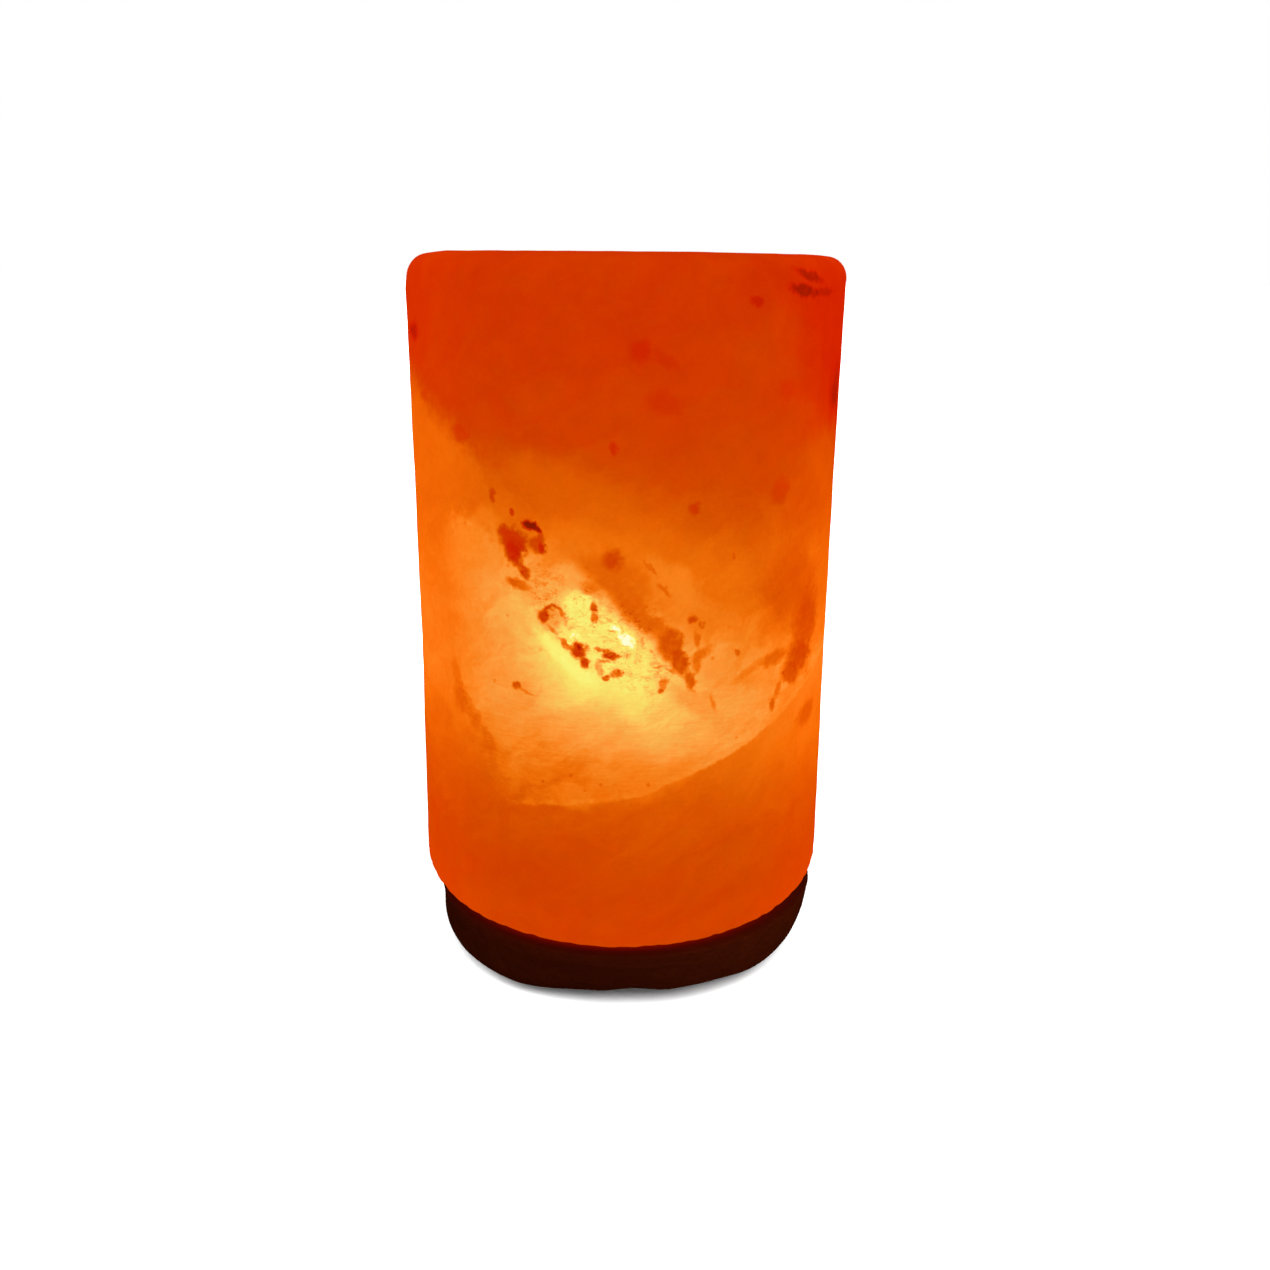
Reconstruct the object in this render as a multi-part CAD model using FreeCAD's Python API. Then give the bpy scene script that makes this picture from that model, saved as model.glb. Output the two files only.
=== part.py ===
"""Salt crystal lamp: a turned block of rock salt on a turned wooden base, lit from inside.

The block is drilled from below, and a small lampholder with a pygmy bulb is pushed up into that
bore, where three sprung legs hold it. Millimetres, +Z up, the front of the lamp faces -Y, and the
origin is at the middle of the underside of the feet.
"""

import FreeCAD
import Part

import math
import os

V = FreeCAD.Vector
X_AXIS = V(1, 0, 0)
Y_AXIS = V(0, 1, 0)
Z_AXIS = V(0, 0, 1)

# ---------------------------------------------------------------- driving sizes, in millimetres

# Feet: self-adhesive discs on the underside of the base
PAD_DIA = 12.0
PAD_THICKNESS = 1.6
PAD_EDGE_INSET = 1.0  # from the edge of the flat underside
PAD_ANGLES_FROM_BACK = (38.0, 125.0)  # on each side, in degrees

# Salt block
SALT_DIA = 100.0
SALT_HEIGHT = 154.1
SALT_WAIST = 0.35  # how far the sides are hollowed at half height
SALT_TOP_ROUND = 4.8
SALT_BOTTOM_ROUND = 8.4
CAVITY_DIA = 46.0
CAVITY_DEPTH = 80.0
CAVITY_END_ROUND = 3.0
CAVITY_MOUTH_CHAMFER = 1.0

# Wooden base
BASE_HEIGHT = 14.5
BASE_SETBACK = 1.4  # its top edge lies this far inside the salt
BASE_TAPER = 2.2  # how much narrower it is at the bottom, on the radius
BASE_LOWER_ROUND = 5.3
BASE_UPPER_ROUND = 0.8
BASE_BORE_GAP = 0.5  # its bore is wider than the cavity by this, on the radius
GROOVE_WIDTH = 8.0  # cord groove across the underside, from the bore to the back
GROOVE_DEPTH = 7.0
GROOVE_EDGE_ROUND = 1.0

# Wood screws that hold the base, and the plugs in the salt that they bite in
SCREW_COUNT = 3
SCREW_DIA = 4.0
SCREW_LENGTH = 35.0
SCREW_HEAD_DIA = 8.0
SCREW_HEAD_ANGLE = 90.0
SCREW_SINK = 2.0  # the head lies this deep in the wood
SCREW_TIP_LENGTH = 5.0
SCREW_CORE_DIA = 3.0  # under the head, above the thread
SCREW_HOLE_GAP = 0.25  # round the shank, in the wood
RECESS_WIDTH = 1.0  # cross recess in the head
RECESS_SPAN = 4.4
RECESS_DEPTH = 1.6
PLUG_DIA = 8.0
PLUG_LENGTH = 25.0
PLUG_GAP = 0.1  # between the plug and the salt
PLUG_RIB_COUNT = 5
PLUG_RIB_DEPTH = 0.45
PLUG_BORE_GAP = 0.05  # between the plug and the screw
PLUG_HOLE_SPARE = 2.0  # hole depth beyond the plug

# Lampholder, from its underside up
HOLDER_LIFT = 10.0  # the holder's underside above the table
INLET_DIA = 10.0
INLET_BOSS_DIA = 15.0
INLET_BOSS_HEIGHT = 4.0
CAP_FLOOR = 2.5
CAP_SKIRT_HEIGHT = 8.0
CAP_LOWER_ROUND = 3.0
SHOULDER_DIA = 30.4  # cap and lower barrel
CHAMBER_DIA = 22.0
NECK_LENGTH = 4.0
NECK_WALL = 1.1
NECK_GAP = 0.15  # between the cap's neck and the barrel
BLOCK_THICKNESS = 5.5
BLOCK_GAP = 0.4  # between the contact block and the barrel
SHOULDER_HEIGHT = 13.0  # lower, wider part of the barrel
THREAD_DIA = 28.0  # upper part of the barrel, which carries the ring nut
BARREL_UPPER_WALL = 3.1
BARREL_LIP = 2.0
MOUTH_DIA = 18.4
MOUTH_OVER_RIM = 1.0  # the barrel's mouth above the rim of the bulb's cap
GRIP_COUNT = 16  # finger grooves round the lower barrel
GRIP_DIA = 2.4
GRIP_DEPTH = 0.5

# Block, contacts and terminals inside the holder
STRIP_THICKNESS = 0.5
CONTACT_WIDTH = 4.0
CONTACT_LEG_X = 2.4  # the leg of the centre contact, off the axis
CONTACT_TIP_REACH = 1.7  # past the axis
CONTACT_SLOT_GAP = 0.25
TOUCH_GAP = 0.1  # between the centre contact and the bulb
CONTACT_RISE = 2.5  # underside of the bulb above the block
RIB_THICKNESS = 2.4  # insulating rib between the terminals
RIB_LENGTH = 16.0
RIB_DEPTH = 6.0
RIVET_DIA = 1.4
RIVET_HEAD_DIA = 2.4
RIVET_HEAD_HEIGHT = 0.6
RIVET_GAP = 0.05
TERMINAL_SIZE = V(4.8, 7.0, 5.6)
TERMINAL_X = 5.0
TERMINAL_WIRE_DIA = 2.4
TERMINAL_SCREW_DIA = 2.5
TERMINAL_SCREW_LENGTH = 3.0
TERMINAL_HEAD_DIA = 3.8
TERMINAL_HEAD_HEIGHT = 1.6
TERMINAL_SLOT_WIDTH = 0.6
TERMINAL_SLOT_DEPTH = 0.7
TERMINAL_SCREW_GAP = 0.05
SHELL_WALL = 0.4
SHELL_HEIGHT = 18.5
SHELL_FLANGE_ID = 8.4
SHELL_RUNNING_GAP = 0.07  # between the screw shell and the bulb's cap

# Spring clip and the ring nut that clamps it on the barrel's shoulder
CLIP_THICKNESS = 0.6
CLIP_RING_WIDTH = 3.4
CLIP_BARREL_GAP = 0.15
CLIP_LEG_COUNT = 3
CLIP_LEG_WIDTH = 8.0
CLIP_LEG_RISE = 22.0
CLIP_TIP_INSET = 4.0  # how far the free end springs back from the wall of the bore
CLIP_BORE_GAP = 0.12  # between a leg's edges and the wall of the bore
NUT_HEIGHT = 4.0
NUT_WALL = 2.7
NUT_THREAD_GAP = 0.1
NUT_NOTCH_COUNT = 12
NUT_NOTCH_DIA = 2.4

# Bulb
BULB_LENGTH = 54.0
BULB_DIA = 25.0
GLASS_WALL = 0.6
CAP_DIA = 13.9
CAP_WALL = 0.35
CAP_HEIGHT = 23.0  # from the underside of the contact to the rim
CAP_RIM_DIA = 15.2
CAP_RIM_HEIGHT = 2.5
CAP_CHAMFER = 1.0
INSULATOR_TOP = 4.5  # above the underside of the contact
INSULATOR_BOTTOM_DIA = 7.0
CONTACT_DIA = 5.0
CONTACT_PLATE = 0.8
CONTACT_HOLE_DIA = 1.0
NECK_DIA = 12.4  # glass neck inside the cap
NECK_IN_CAP = 5.0
SWELL_START = 1.0  # where the glass begins to widen, above the rim
SWELL_HEIGHT = 9.0
STEM_DIA = 5.0
STEM_BORE_DIA = 3.0
STEM_FLARE_THICKNESS = 1.0
STEM_GAP = 0.2  # between the flare and the inside of the neck
STEM_TUBE_HEIGHT = 10.0
PINCH_WIDTH = 7.0
PINCH_THICKNESS = 2.6
PINCH_HEIGHT = 5.0
STEM_ROD_DIA = 1.8
STEM_ROD_HEIGHT = 4.0
STEM_BUTTON_DIA = 3.0
LEAD_DIA = 0.7
SOLDER_GAP = 0.1  # between the side lead and the cap's wall
LEAD_SPREAD = 1.8  # half the distance between the leads in the pinch
FILAMENT_R = 7.5
FILAMENT_DIA = 0.5
FILAMENT_BELOW_TOP = 13.0
SUPPORT_DIA = 0.4
SUPPORT_ANGLES = (225.0, 270.0, 315.0)

# ---------------------------------------------------------------- places worked out from them

salt_r = SALT_DIA / 2
cavity_r = CAVITY_DIA / 2
base_bottom = PAD_THICKNESS
base_top = base_bottom + BASE_HEIGHT
salt_bottom = base_top
salt_top = salt_bottom + SALT_HEIGHT
cavity_top = salt_bottom + CAVITY_DEPTH
base_top_r = salt_r - BASE_SETBACK
base_bottom_r = base_top_r - BASE_TAPER
base_bore_r = cavity_r + BASE_BORE_GAP
base_flat_r = base_bottom_r - BASE_LOWER_ROUND
salt_flat_r = salt_r - SALT_BOTTOM_ROUND
screw_circle_r = (cavity_r + salt_flat_r) / 2
pad_circle_r = base_flat_r - PAD_EDGE_INSET - PAD_DIA / 2
screw_head_z = base_bottom + SCREW_SINK
SCREW_START_ANGLE = 270.0  # one screw at the front, so that the groove at the back stays free

cap_floor_top = HOLDER_LIFT + INLET_BOSS_HEIGHT + CAP_FLOOR
cap_skirt_bottom = HOLDER_LIFT + INLET_BOSS_HEIGHT
barrel_bottom = cap_skirt_bottom + CAP_SKIRT_HEIGHT
block_bottom = barrel_bottom + NECK_LENGTH
block_top = block_bottom + BLOCK_THICKNESS
bulb_bottom = block_top + CONTACT_RISE
rim_z = bulb_bottom + CAP_HEIGHT
mouth_z = rim_z + MOUTH_OVER_RIM
shoulder_top = barrel_bottom + SHOULDER_HEIGHT
clip_top = shoulder_top + CLIP_THICKNESS
bulb_top = bulb_bottom + BULB_LENGTH
shoulder_r = SHOULDER_DIA / 2
thread_r = THREAD_DIA / 2
chamber_r = CHAMBER_DIA / 2
neck_r = chamber_r + NECK_WALL
barrel_lower_inner_r = neck_r + NECK_GAP
barrel_upper_inner_r = thread_r - BARREL_UPPER_WALL
block_r = barrel_lower_inner_r - BLOCK_GAP
cap_r = CAP_DIA / 2
shell_inner_r = cap_r + SHELL_RUNNING_GAP
shell_outer_r = shell_inner_r + SHELL_WALL
rivet_circle_r = (SHELL_FLANGE_ID / 2 + shell_inner_r) / 2
strip_top = block_bottom
strip_bottom = block_bottom - STRIP_THICKNESS
filament_z = bulb_top - FILAMENT_BELOW_TOP
glass_r = BULB_DIA / 2
neck_bottom = rim_z - NECK_IN_CAP


# ---------------------------------------------------------------- small helpers

def turned(points):
    """A solid turned about Z from a closed outline of (radius, z) corners."""
    corners = [V(r, 0, z) for r, z in points]
    outline = Part.makePolygon(corners + corners[:1])
    return Part.Face(outline).revolve(V(0, 0, 0), Z_AXIS, 360)


def turned_outline(edges):
    """A solid turned about Z from the lines and arcs of a closed outline in the XZ plane."""
    outline = Part.Wire(Part.__sortEdges__(edges))
    return Part.Face(outline).revolve(V(0, 0, 0), Z_AXIS, 360)


def line(start, end):
    """A straight edge between two (radius, z) points of the XZ plane."""
    return Part.LineSegment(V(start[0], 0, start[1]), V(end[0], 0, end[1])).toShape()


def arc(start, middle, end):
    """A circular edge through three (radius, z) points of the XZ plane."""
    places = [V(r, 0, z) for r, z in (start, middle, end)]
    return Part.Arc(*places).toShape()


def on_circle(centre, radius, angle):
    """The (radius, z) point of a circle in the XZ plane at an angle in degrees."""
    turn = math.radians(angle)
    return centre[0] + radius * math.cos(turn), centre[1] + radius * math.sin(turn)


def ring(outer_r, inner_r, bottom, top):
    """A plain ring about Z."""
    return turned([(inner_r, bottom), (outer_r, bottom), (outer_r, top), (inner_r, top)])


def disc(radius, bottom, top):
    """A plain disc or rod about Z."""
    return Part.makeCylinder(radius, top - bottom, V(0, 0, bottom))


def block(x0, x1, y0, y1, z0, z1):
    """A box between two corners."""
    return Part.makeBox(x1 - x0, y1 - y0, z1 - z0, V(x0, y0, z0))


def polar(radius, angle, z=0.0):
    """The point at a radius and an angle in degrees about Z."""
    turn = math.radians(angle)
    return V(radius * math.cos(turn), radius * math.sin(turn), z)


def moved(shape, place):
    """A copy of the shape, shifted."""
    copy = shape.copy()
    copy.translate(place)
    return copy


def around(shape, count, start=0.0):
    """Copies of a shape, evenly turned about Z."""
    copies = []
    for index in range(count):
        copy = shape.copy()
        copy.rotate(V(0, 0, 0), Z_AXIS, start + 360.0 * index / count)
        copies.append(copy)
    return copies


def edges_at(shape, radius, z, reach=0.01):
    """The whole circles about Z that have this radius and height."""
    found = []
    for edge in shape.Edges:
        curve = edge.Curve
        if not isinstance(curve, Part.Circle):
            continue
        on_axis = math.hypot(curve.Center.x, curve.Center.y) < reach
        if on_axis and abs(curve.Radius - radius) < reach and abs(curve.Center.z - z) < reach:
            found.append(edge)
    return found


def bent_strip(points, thickness, width):
    """A flat strip bent along (x, z) points, with its width along Y, mitred at each bend."""
    count = len(points)
    sides = ([], [])
    for index, (x, z) in enumerate(points):
        before = points[max(index - 1, 0)]
        after = points[min(index + 1, count - 1)]
        if index in (0, count - 1):
            first = second = V(after[0] - before[0], 0, after[1] - before[1]).normalize()
        else:
            first = V(x - before[0], 0, z - before[1]).normalize()
            second = V(after[0] - x, 0, after[1] - z).normalize()
        middle = (first + second).normalize()
        normal = V(-middle.z, 0, middle.x)
        half = thickness / 2 / middle.dot(second)
        sides[0].append(V(x, 0, z) + normal * half)
        sides[1].append(V(x, 0, z) - normal * half)
    corners = sides[0] + sides[1][::-1]
    face = Part.Face(Part.makePolygon(corners + corners[:1]))
    face.translate(V(0, -width / 2, 0))
    return face.extrude(V(0, width, 0))


def wire_along(points, diameter):
    """A round wire of straight runs with rounded bends, and flat ends."""
    radius = diameter / 2
    runs = []
    for start, end in zip(points, points[1:]):
        way = end - start
        runs.append(Part.makeCylinder(radius, way.Length, start, way))
    bends = [Part.makeSphere(radius, place) for place in points[1:-1]]
    return runs[0].multiFuse(runs[1:] + bends)


# ---------------------------------------------------------------- the body of the lamp

def make_salt_block():
    """Turned salt with slightly hollow sides, rounded edges and a bore drilled from below."""
    half_height = (salt_bottom + salt_top) / 2
    foot = (salt_r, salt_bottom)
    head = (salt_r, salt_top)
    side = arc(foot, (salt_r - SALT_WAIST, half_height), head)
    outline = [
        line((0, salt_bottom), foot),
        side,
        line(head, (0, salt_top)),
        line((0, salt_top), (0, salt_bottom)),
    ]
    salt = turned_outline(outline)
    salt = salt.makeFillet(SALT_TOP_ROUND, edges_at(salt, salt_r, salt_top))
    salt = salt.makeFillet(SALT_BOTTOM_ROUND, edges_at(salt, salt_r, salt_bottom))
    bore = disc(cavity_r, salt_bottom - 1, cavity_top)
    bore = bore.makeFillet(CAVITY_END_ROUND, edges_at(bore, cavity_r, cavity_top))
    mouth = turned([
        (0, salt_bottom - 1),
        (cavity_r + CAVITY_MOUTH_CHAMFER + 1, salt_bottom - 1),
        (cavity_r, salt_bottom + CAVITY_MOUTH_CHAMFER),
        (0, salt_bottom + CAVITY_MOUTH_CHAMFER),
    ])
    hole_top = salt_bottom + PLUG_LENGTH + PLUG_HOLE_SPARE
    hole = moved(disc(PLUG_DIA / 2 + PLUG_GAP, salt_bottom - 1, hole_top), V(screw_circle_r, 0, 0))
    return salt.cut([bore, mouth] + around(hole, SCREW_COUNT, SCREW_START_ANGLE))


def make_wood_base():
    """Turned base with a tapered side, a soft lower edge, the bore and the cord groove."""
    base = turned([
        (0, base_bottom),
        (base_bottom_r, base_bottom),
        (base_top_r, base_top),
        (0, base_top),
    ])
    base = base.makeFillet(BASE_LOWER_ROUND, edges_at(base, base_bottom_r, base_bottom))
    base = base.makeFillet(BASE_UPPER_ROUND, edges_at(base, base_top_r, base_top))
    bore = disc(base_bore_r, base_bottom - 1, base_top + 1)
    groove_top = base_bottom + GROOVE_DEPTH
    half_width = GROOVE_WIDTH / 2
    groove = block(-half_width, half_width, 0, base_top_r + 1, base_bottom - 1, groove_top)
    ceiling = [
        edge for edge in groove.Edges
        if abs(edge.BoundBox.ZMin - groove_top) < 0.01 and edge.BoundBox.YLength > half_width * 2.5
    ]
    groove = groove.makeFillet(GROOVE_EDGE_ROUND, ceiling)
    head_r = SCREW_HEAD_DIA / 2
    shank_r = SCREW_DIA / 2 + SCREW_HOLE_GAP
    cone_height = (head_r - shank_r) / math.tan(math.radians(SCREW_HEAD_ANGLE / 2))
    hole = turned([
        (0, base_bottom - 1),
        (head_r, base_bottom - 1),
        (head_r, screw_head_z),
        (shank_r, screw_head_z + cone_height),
        (shank_r, base_top + 1),
        (0, base_top + 1),
    ])
    holes = around(moved(hole, V(screw_circle_r, 0, 0)), SCREW_COUNT, SCREW_START_ANGLE)
    return base.cut([bore, groove] + holes)


def make_foot_pads():
    """Four discs: two near the groove at the back, and two further out at the front."""
    pads = []
    for angle in PAD_ANGLES_FROM_BACK:
        for side in (-1, 1):
            pads.append(moved(disc(PAD_DIA / 2, 0, PAD_THICKNESS), polar(pad_circle_r, 90 + side * angle)))
    return Part.makeCompound(pads)


def make_base_screws():
    """Countersunk wood screws, driven up through the base."""
    head_r = SCREW_HEAD_DIA / 2 - 0.1
    shank_r = SCREW_DIA / 2
    core_r = SCREW_CORE_DIA / 2
    cone_height = (head_r - shank_r) / math.tan(math.radians(SCREW_HEAD_ANGLE / 2))
    thread_start = base_top - (base_top - screw_head_z) / 4
    tip = screw_head_z + SCREW_LENGTH
    screw = turned([
        (0, screw_head_z),
        (head_r, screw_head_z),
        (shank_r, screw_head_z + cone_height),
        (shank_r, screw_head_z + cone_height + 1),
        (core_r, screw_head_z + cone_height + 1.5),
        (core_r, thread_start - 0.5),
        (shank_r, thread_start),
        (shank_r, tip - SCREW_TIP_LENGTH),
        (0, tip),
    ])
    half_span = RECESS_SPAN / 2
    half_width = RECESS_WIDTH / 2
    recess_top = screw_head_z + RECESS_DEPTH
    for quarter in (0, 90):
        arm = block(-half_span, half_span, -half_width, half_width, screw_head_z - 1, recess_top)
        arm.rotate(V(0, 0, 0), Z_AXIS, quarter)
        screw = screw.cut(arm)
    screw.translate(V(screw_circle_r, 0, 0))
    return Part.makeCompound(around(screw, SCREW_COUNT, SCREW_START_ANGLE))


def make_screw_plugs():
    """Ribbed plugs in the salt; each rib is a shallow saw tooth that lets the plug in but not out."""
    outer_r = PLUG_DIA / 2
    valley_r = outer_r - PLUG_RIB_DEPTH
    bore_r = SCREW_DIA / 2 + PLUG_BORE_GAP
    top = salt_bottom + PLUG_LENGTH
    bore_top = screw_head_z + SCREW_LENGTH - SCREW_TIP_LENGTH
    pitch = PLUG_LENGTH / (PLUG_RIB_COUNT + 1)
    outline = [(bore_r, salt_bottom), (outer_r, salt_bottom), (outer_r, salt_bottom + pitch)]
    for rib in range(1, PLUG_RIB_COUNT + 1):
        rib_bottom = salt_bottom + pitch * rib
        outline += [(valley_r, rib_bottom), (outer_r, rib_bottom + pitch * 0.6), (outer_r, rib_bottom + pitch)]
    outline[-1] = (valley_r, top)
    cone_r = bore_r * (1 - (bore_top + SCREW_TIP_LENGTH - top) / SCREW_TIP_LENGTH)
    cone_r = max(cone_r, PLUG_BORE_GAP)
    if bore_top + SCREW_TIP_LENGTH < top:
        outline += [(0, top), (0, bore_top + SCREW_TIP_LENGTH), (bore_r, bore_top)]
    else:
        outline += [(cone_r, top), (bore_r, bore_top)]
    plug = turned(outline)
    plug.translate(V(screw_circle_r, 0, 0))
    return Part.makeCompound(around(plug, SCREW_COUNT, SCREW_START_ANGLE))


# ---------------------------------------------------------------- the lampholder

def make_holder_cap():
    """Lower half of the holder: the cable inlet, the terminal chamber and the threaded neck."""
    inlet_r = INLET_DIA / 2
    boss_r = INLET_BOSS_DIA / 2
    cap = turned([
        (inlet_r, HOLDER_LIFT),
        (boss_r, HOLDER_LIFT),
        (boss_r, cap_skirt_bottom),
        (shoulder_r, cap_skirt_bottom),
        (shoulder_r, barrel_bottom),
        (neck_r, barrel_bottom),
        (neck_r, block_bottom),
        (chamber_r, block_bottom),
        (chamber_r, cap_floor_top),
        (inlet_r, cap_floor_top),
    ])
    return cap.makeFillet(CAP_LOWER_ROUND, edges_at(cap, shoulder_r, cap_skirt_bottom))


def make_holder_barrel():
    """Upper half of the holder, with the ledge that clamps the block and the lip at the mouth."""
    barrel = turned([
        (barrel_lower_inner_r, barrel_bottom),
        (shoulder_r, barrel_bottom),
        (shoulder_r, shoulder_top),
        (thread_r, shoulder_top),
        (thread_r, mouth_z),
        (MOUTH_DIA / 2, mouth_z),
        (MOUTH_DIA / 2, mouth_z - BARREL_LIP),
        (barrel_upper_inner_r, mouth_z - BARREL_LIP),
        (barrel_upper_inner_r, block_top),
        (barrel_lower_inner_r, block_top),
    ])
    barrel = barrel.makeChamfer(BARREL_LIP / 3, edges_at(barrel, thread_r, mouth_z))
    groove_top = shoulder_top - 2 * GRIP_DIA
    groove = disc(GRIP_DIA / 2, barrel_bottom - 1, groove_top)
    groove = groove.fuse(Part.makeSphere(GRIP_DIA / 2, V(0, 0, groove_top)))
    groove.translate(V(shoulder_r + GRIP_DIA / 2 - GRIP_DEPTH, 0, 0))
    return barrel.cut(around(groove, GRIP_COUNT))


def rivet_places():
    """The two rivets, one each side of the axis along Y, as (place, lower end)."""
    return [
        (V(0, -rivet_circle_r, 0), strip_bottom),
        (V(0, rivet_circle_r, 0), block_bottom),
    ]


def make_contact_block():
    """Insulating block with the slot of the centre contact and the rib between the terminals."""
    body = disc(block_r, block_bottom, block_top)
    half_rib = RIB_THICKNESS / 2
    half_length = RIB_LENGTH / 2
    rib = block(-half_rib, half_rib, -half_length, half_length, block_bottom - RIB_DEPTH, block_bottom)
    body = body.fuse(rib)
    slot_x0 = CONTACT_LEG_X - STRIP_THICKNESS / 2 - CONTACT_SLOT_GAP
    slot_x1 = CONTACT_LEG_X + STRIP_THICKNESS / 2 + CONTACT_SLOT_GAP
    slot_y = CONTACT_WIDTH / 2 + CONTACT_SLOT_GAP
    slot = block(slot_x0, slot_x1, -slot_y, slot_y, block_bottom - 1, block_top + 1)
    cuts = [slot]
    for place, _ in rivet_places():
        cuts.append(moved(disc(RIVET_DIA / 2 + RIVET_GAP, block_bottom - RIB_DEPTH - 1, block_top + 1), place))
    strip_y = rivet_circle_r - RIVET_HEAD_DIA / 2 - 2 * RIVET_GAP
    for side in (-1, 1):
        near, far = sorted((side * strip_y, side * (half_length + 1)))
        cuts.append(block(-half_rib - 1, half_rib + 1, near, far, block_bottom - RIB_DEPTH - 1, block_bottom))
    return body.cut(cuts)


def make_screw_shell():
    """Brass screw shell with an inward flange that is riveted to the block."""
    flange_top = block_top + SHELL_WALL
    shell = turned([
        (SHELL_FLANGE_ID / 2, block_top),
        (shell_outer_r, block_top),
        (shell_outer_r, block_top + SHELL_HEIGHT),
        (shell_inner_r, block_top + SHELL_HEIGHT),
        (shell_inner_r, flange_top),
        (SHELL_FLANGE_ID / 2, flange_top),
    ])
    holes = [
        moved(disc(RIVET_DIA / 2 + RIVET_GAP, block_top - 1, flange_top + 1), place)
        for place, _ in rivet_places()
    ]
    return shell.cut(holes)


def make_centre_contact():
    """Sprung strip: its foot lies over one terminal, its leg rises in the slot to the axis."""
    foot_z = block_bottom - STRIP_THICKNESS / 2
    tip_z = bulb_bottom - TOUCH_GAP - STRIP_THICKNESS / 2
    foot_end = TERMINAL_X + TERMINAL_SIZE.x / 2
    rise = tip_z - block_top
    points = [
        (foot_end, foot_z),
        (CONTACT_LEG_X, foot_z),
        (CONTACT_LEG_X, tip_z - rise / 2),
        (CONTACT_LEG_X - rise / 2, tip_z),
        (-CONTACT_TIP_REACH, tip_z),
    ]
    return bent_strip(points, STRIP_THICKNESS, CONTACT_WIDTH)


def make_side_contact():
    """Flat L-shaped strip from the rivet under the screw shell to the other terminal."""
    half_y = CONTACT_WIDTH / 2
    outer_x = -TERMINAL_X - TERMINAL_SIZE.x / 2
    inner_x = -TERMINAL_X + TERMINAL_SIZE.x / 2
    end_y = -rivet_circle_r - RIVET_HEAD_DIA / 2 - RIVET_GAP
    arm_y = -rivet_circle_r + RIVET_HEAD_DIA / 2 - RIVET_GAP
    end_x = RIVET_HEAD_DIA / 2
    pad = block(outer_x, inner_x, end_y, half_y, strip_bottom, strip_top)
    arm = block(outer_x, end_x, end_y, arm_y, strip_bottom, strip_top)
    hole = moved(disc(RIVET_DIA / 2 + RIVET_GAP, strip_bottom - 1, strip_top + 1), rivet_places()[0][0])
    return pad.fuse(arm).removeSplitter().cut(hole)


def make_block_rivets():
    """Two rivets that hold the screw shell, the block and the side contact together."""
    rivets = []
    flange_top = block_top + SHELL_WALL
    head_r = RIVET_HEAD_DIA / 2
    shank_r = RIVET_DIA / 2
    for place, bottom in rivet_places():
        outline = [
            (0, bottom - RIVET_HEAD_HEIGHT),
            (head_r, bottom - RIVET_HEAD_HEIGHT),
            (head_r, bottom),
            (shank_r, bottom),
            (shank_r, flange_top),
            (head_r, flange_top),
            (head_r, flange_top + RIVET_HEAD_HEIGHT / 2),
            (shank_r, flange_top + RIVET_HEAD_HEIGHT),
            (0, flange_top + RIVET_HEAD_HEIGHT),
        ]
        rivets.append(moved(turned(outline), place))
    return Part.makeCompound(rivets)


def make_terminal_blocks():
    """Two brass blocks under the strips, drilled up for the wire and across for the screw."""
    blocks = []
    size = TERMINAL_SIZE
    bottom = strip_bottom - size.z
    middle_z = strip_bottom - size.z / 2
    for side in (-1, 1):
        body = block(-size.x / 2, size.x / 2, -size.y / 2, size.y / 2, bottom, strip_bottom)
        wire_hole = disc(TERMINAL_WIRE_DIA / 2, bottom - 1, middle_z + TERMINAL_SCREW_DIA / 2)
        screw_r = TERMINAL_SCREW_DIA / 2 + TERMINAL_SCREW_GAP
        screw_hole = Part.makeCylinder(screw_r, size.y / 2 + 1, V(0, -size.y / 2 - 1, middle_z), Y_AXIS)
        body = body.cut([wire_hole, screw_hole])
        blocks.append(moved(body, V(side * TERMINAL_X, 0, 0)))
    return Part.makeCompound(blocks)


def make_terminal_screws():
    """Slotted cheese-head screws that clamp the wires, driven in from the front."""
    screws = []
    middle_z = strip_bottom - TERMINAL_SIZE.z / 2
    face_y = -TERMINAL_SIZE.y / 2
    for side in (-1, 1):
        shank = Part.makeCylinder(
            TERMINAL_SCREW_DIA / 2, TERMINAL_SCREW_LENGTH, V(0, face_y, middle_z), Y_AXIS
        )
        head = Part.makeCylinder(
            TERMINAL_HEAD_DIA / 2, TERMINAL_HEAD_HEIGHT, V(0, face_y - TERMINAL_HEAD_HEIGHT, middle_z), Y_AXIS
        )
        half_slot = TERMINAL_SLOT_WIDTH / 2
        head_y = face_y - TERMINAL_HEAD_HEIGHT
        slot = block(
            -TERMINAL_HEAD_DIA, TERMINAL_HEAD_DIA,
            head_y - 1, head_y + TERMINAL_SLOT_DEPTH,
            middle_z - half_slot, middle_z + half_slot,
        )
        screw = shank.fuse(head).cut(slot)
        screws.append(moved(screw, V(side * TERMINAL_X, 0, 0)))
    return Part.makeCompound(screws)


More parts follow.
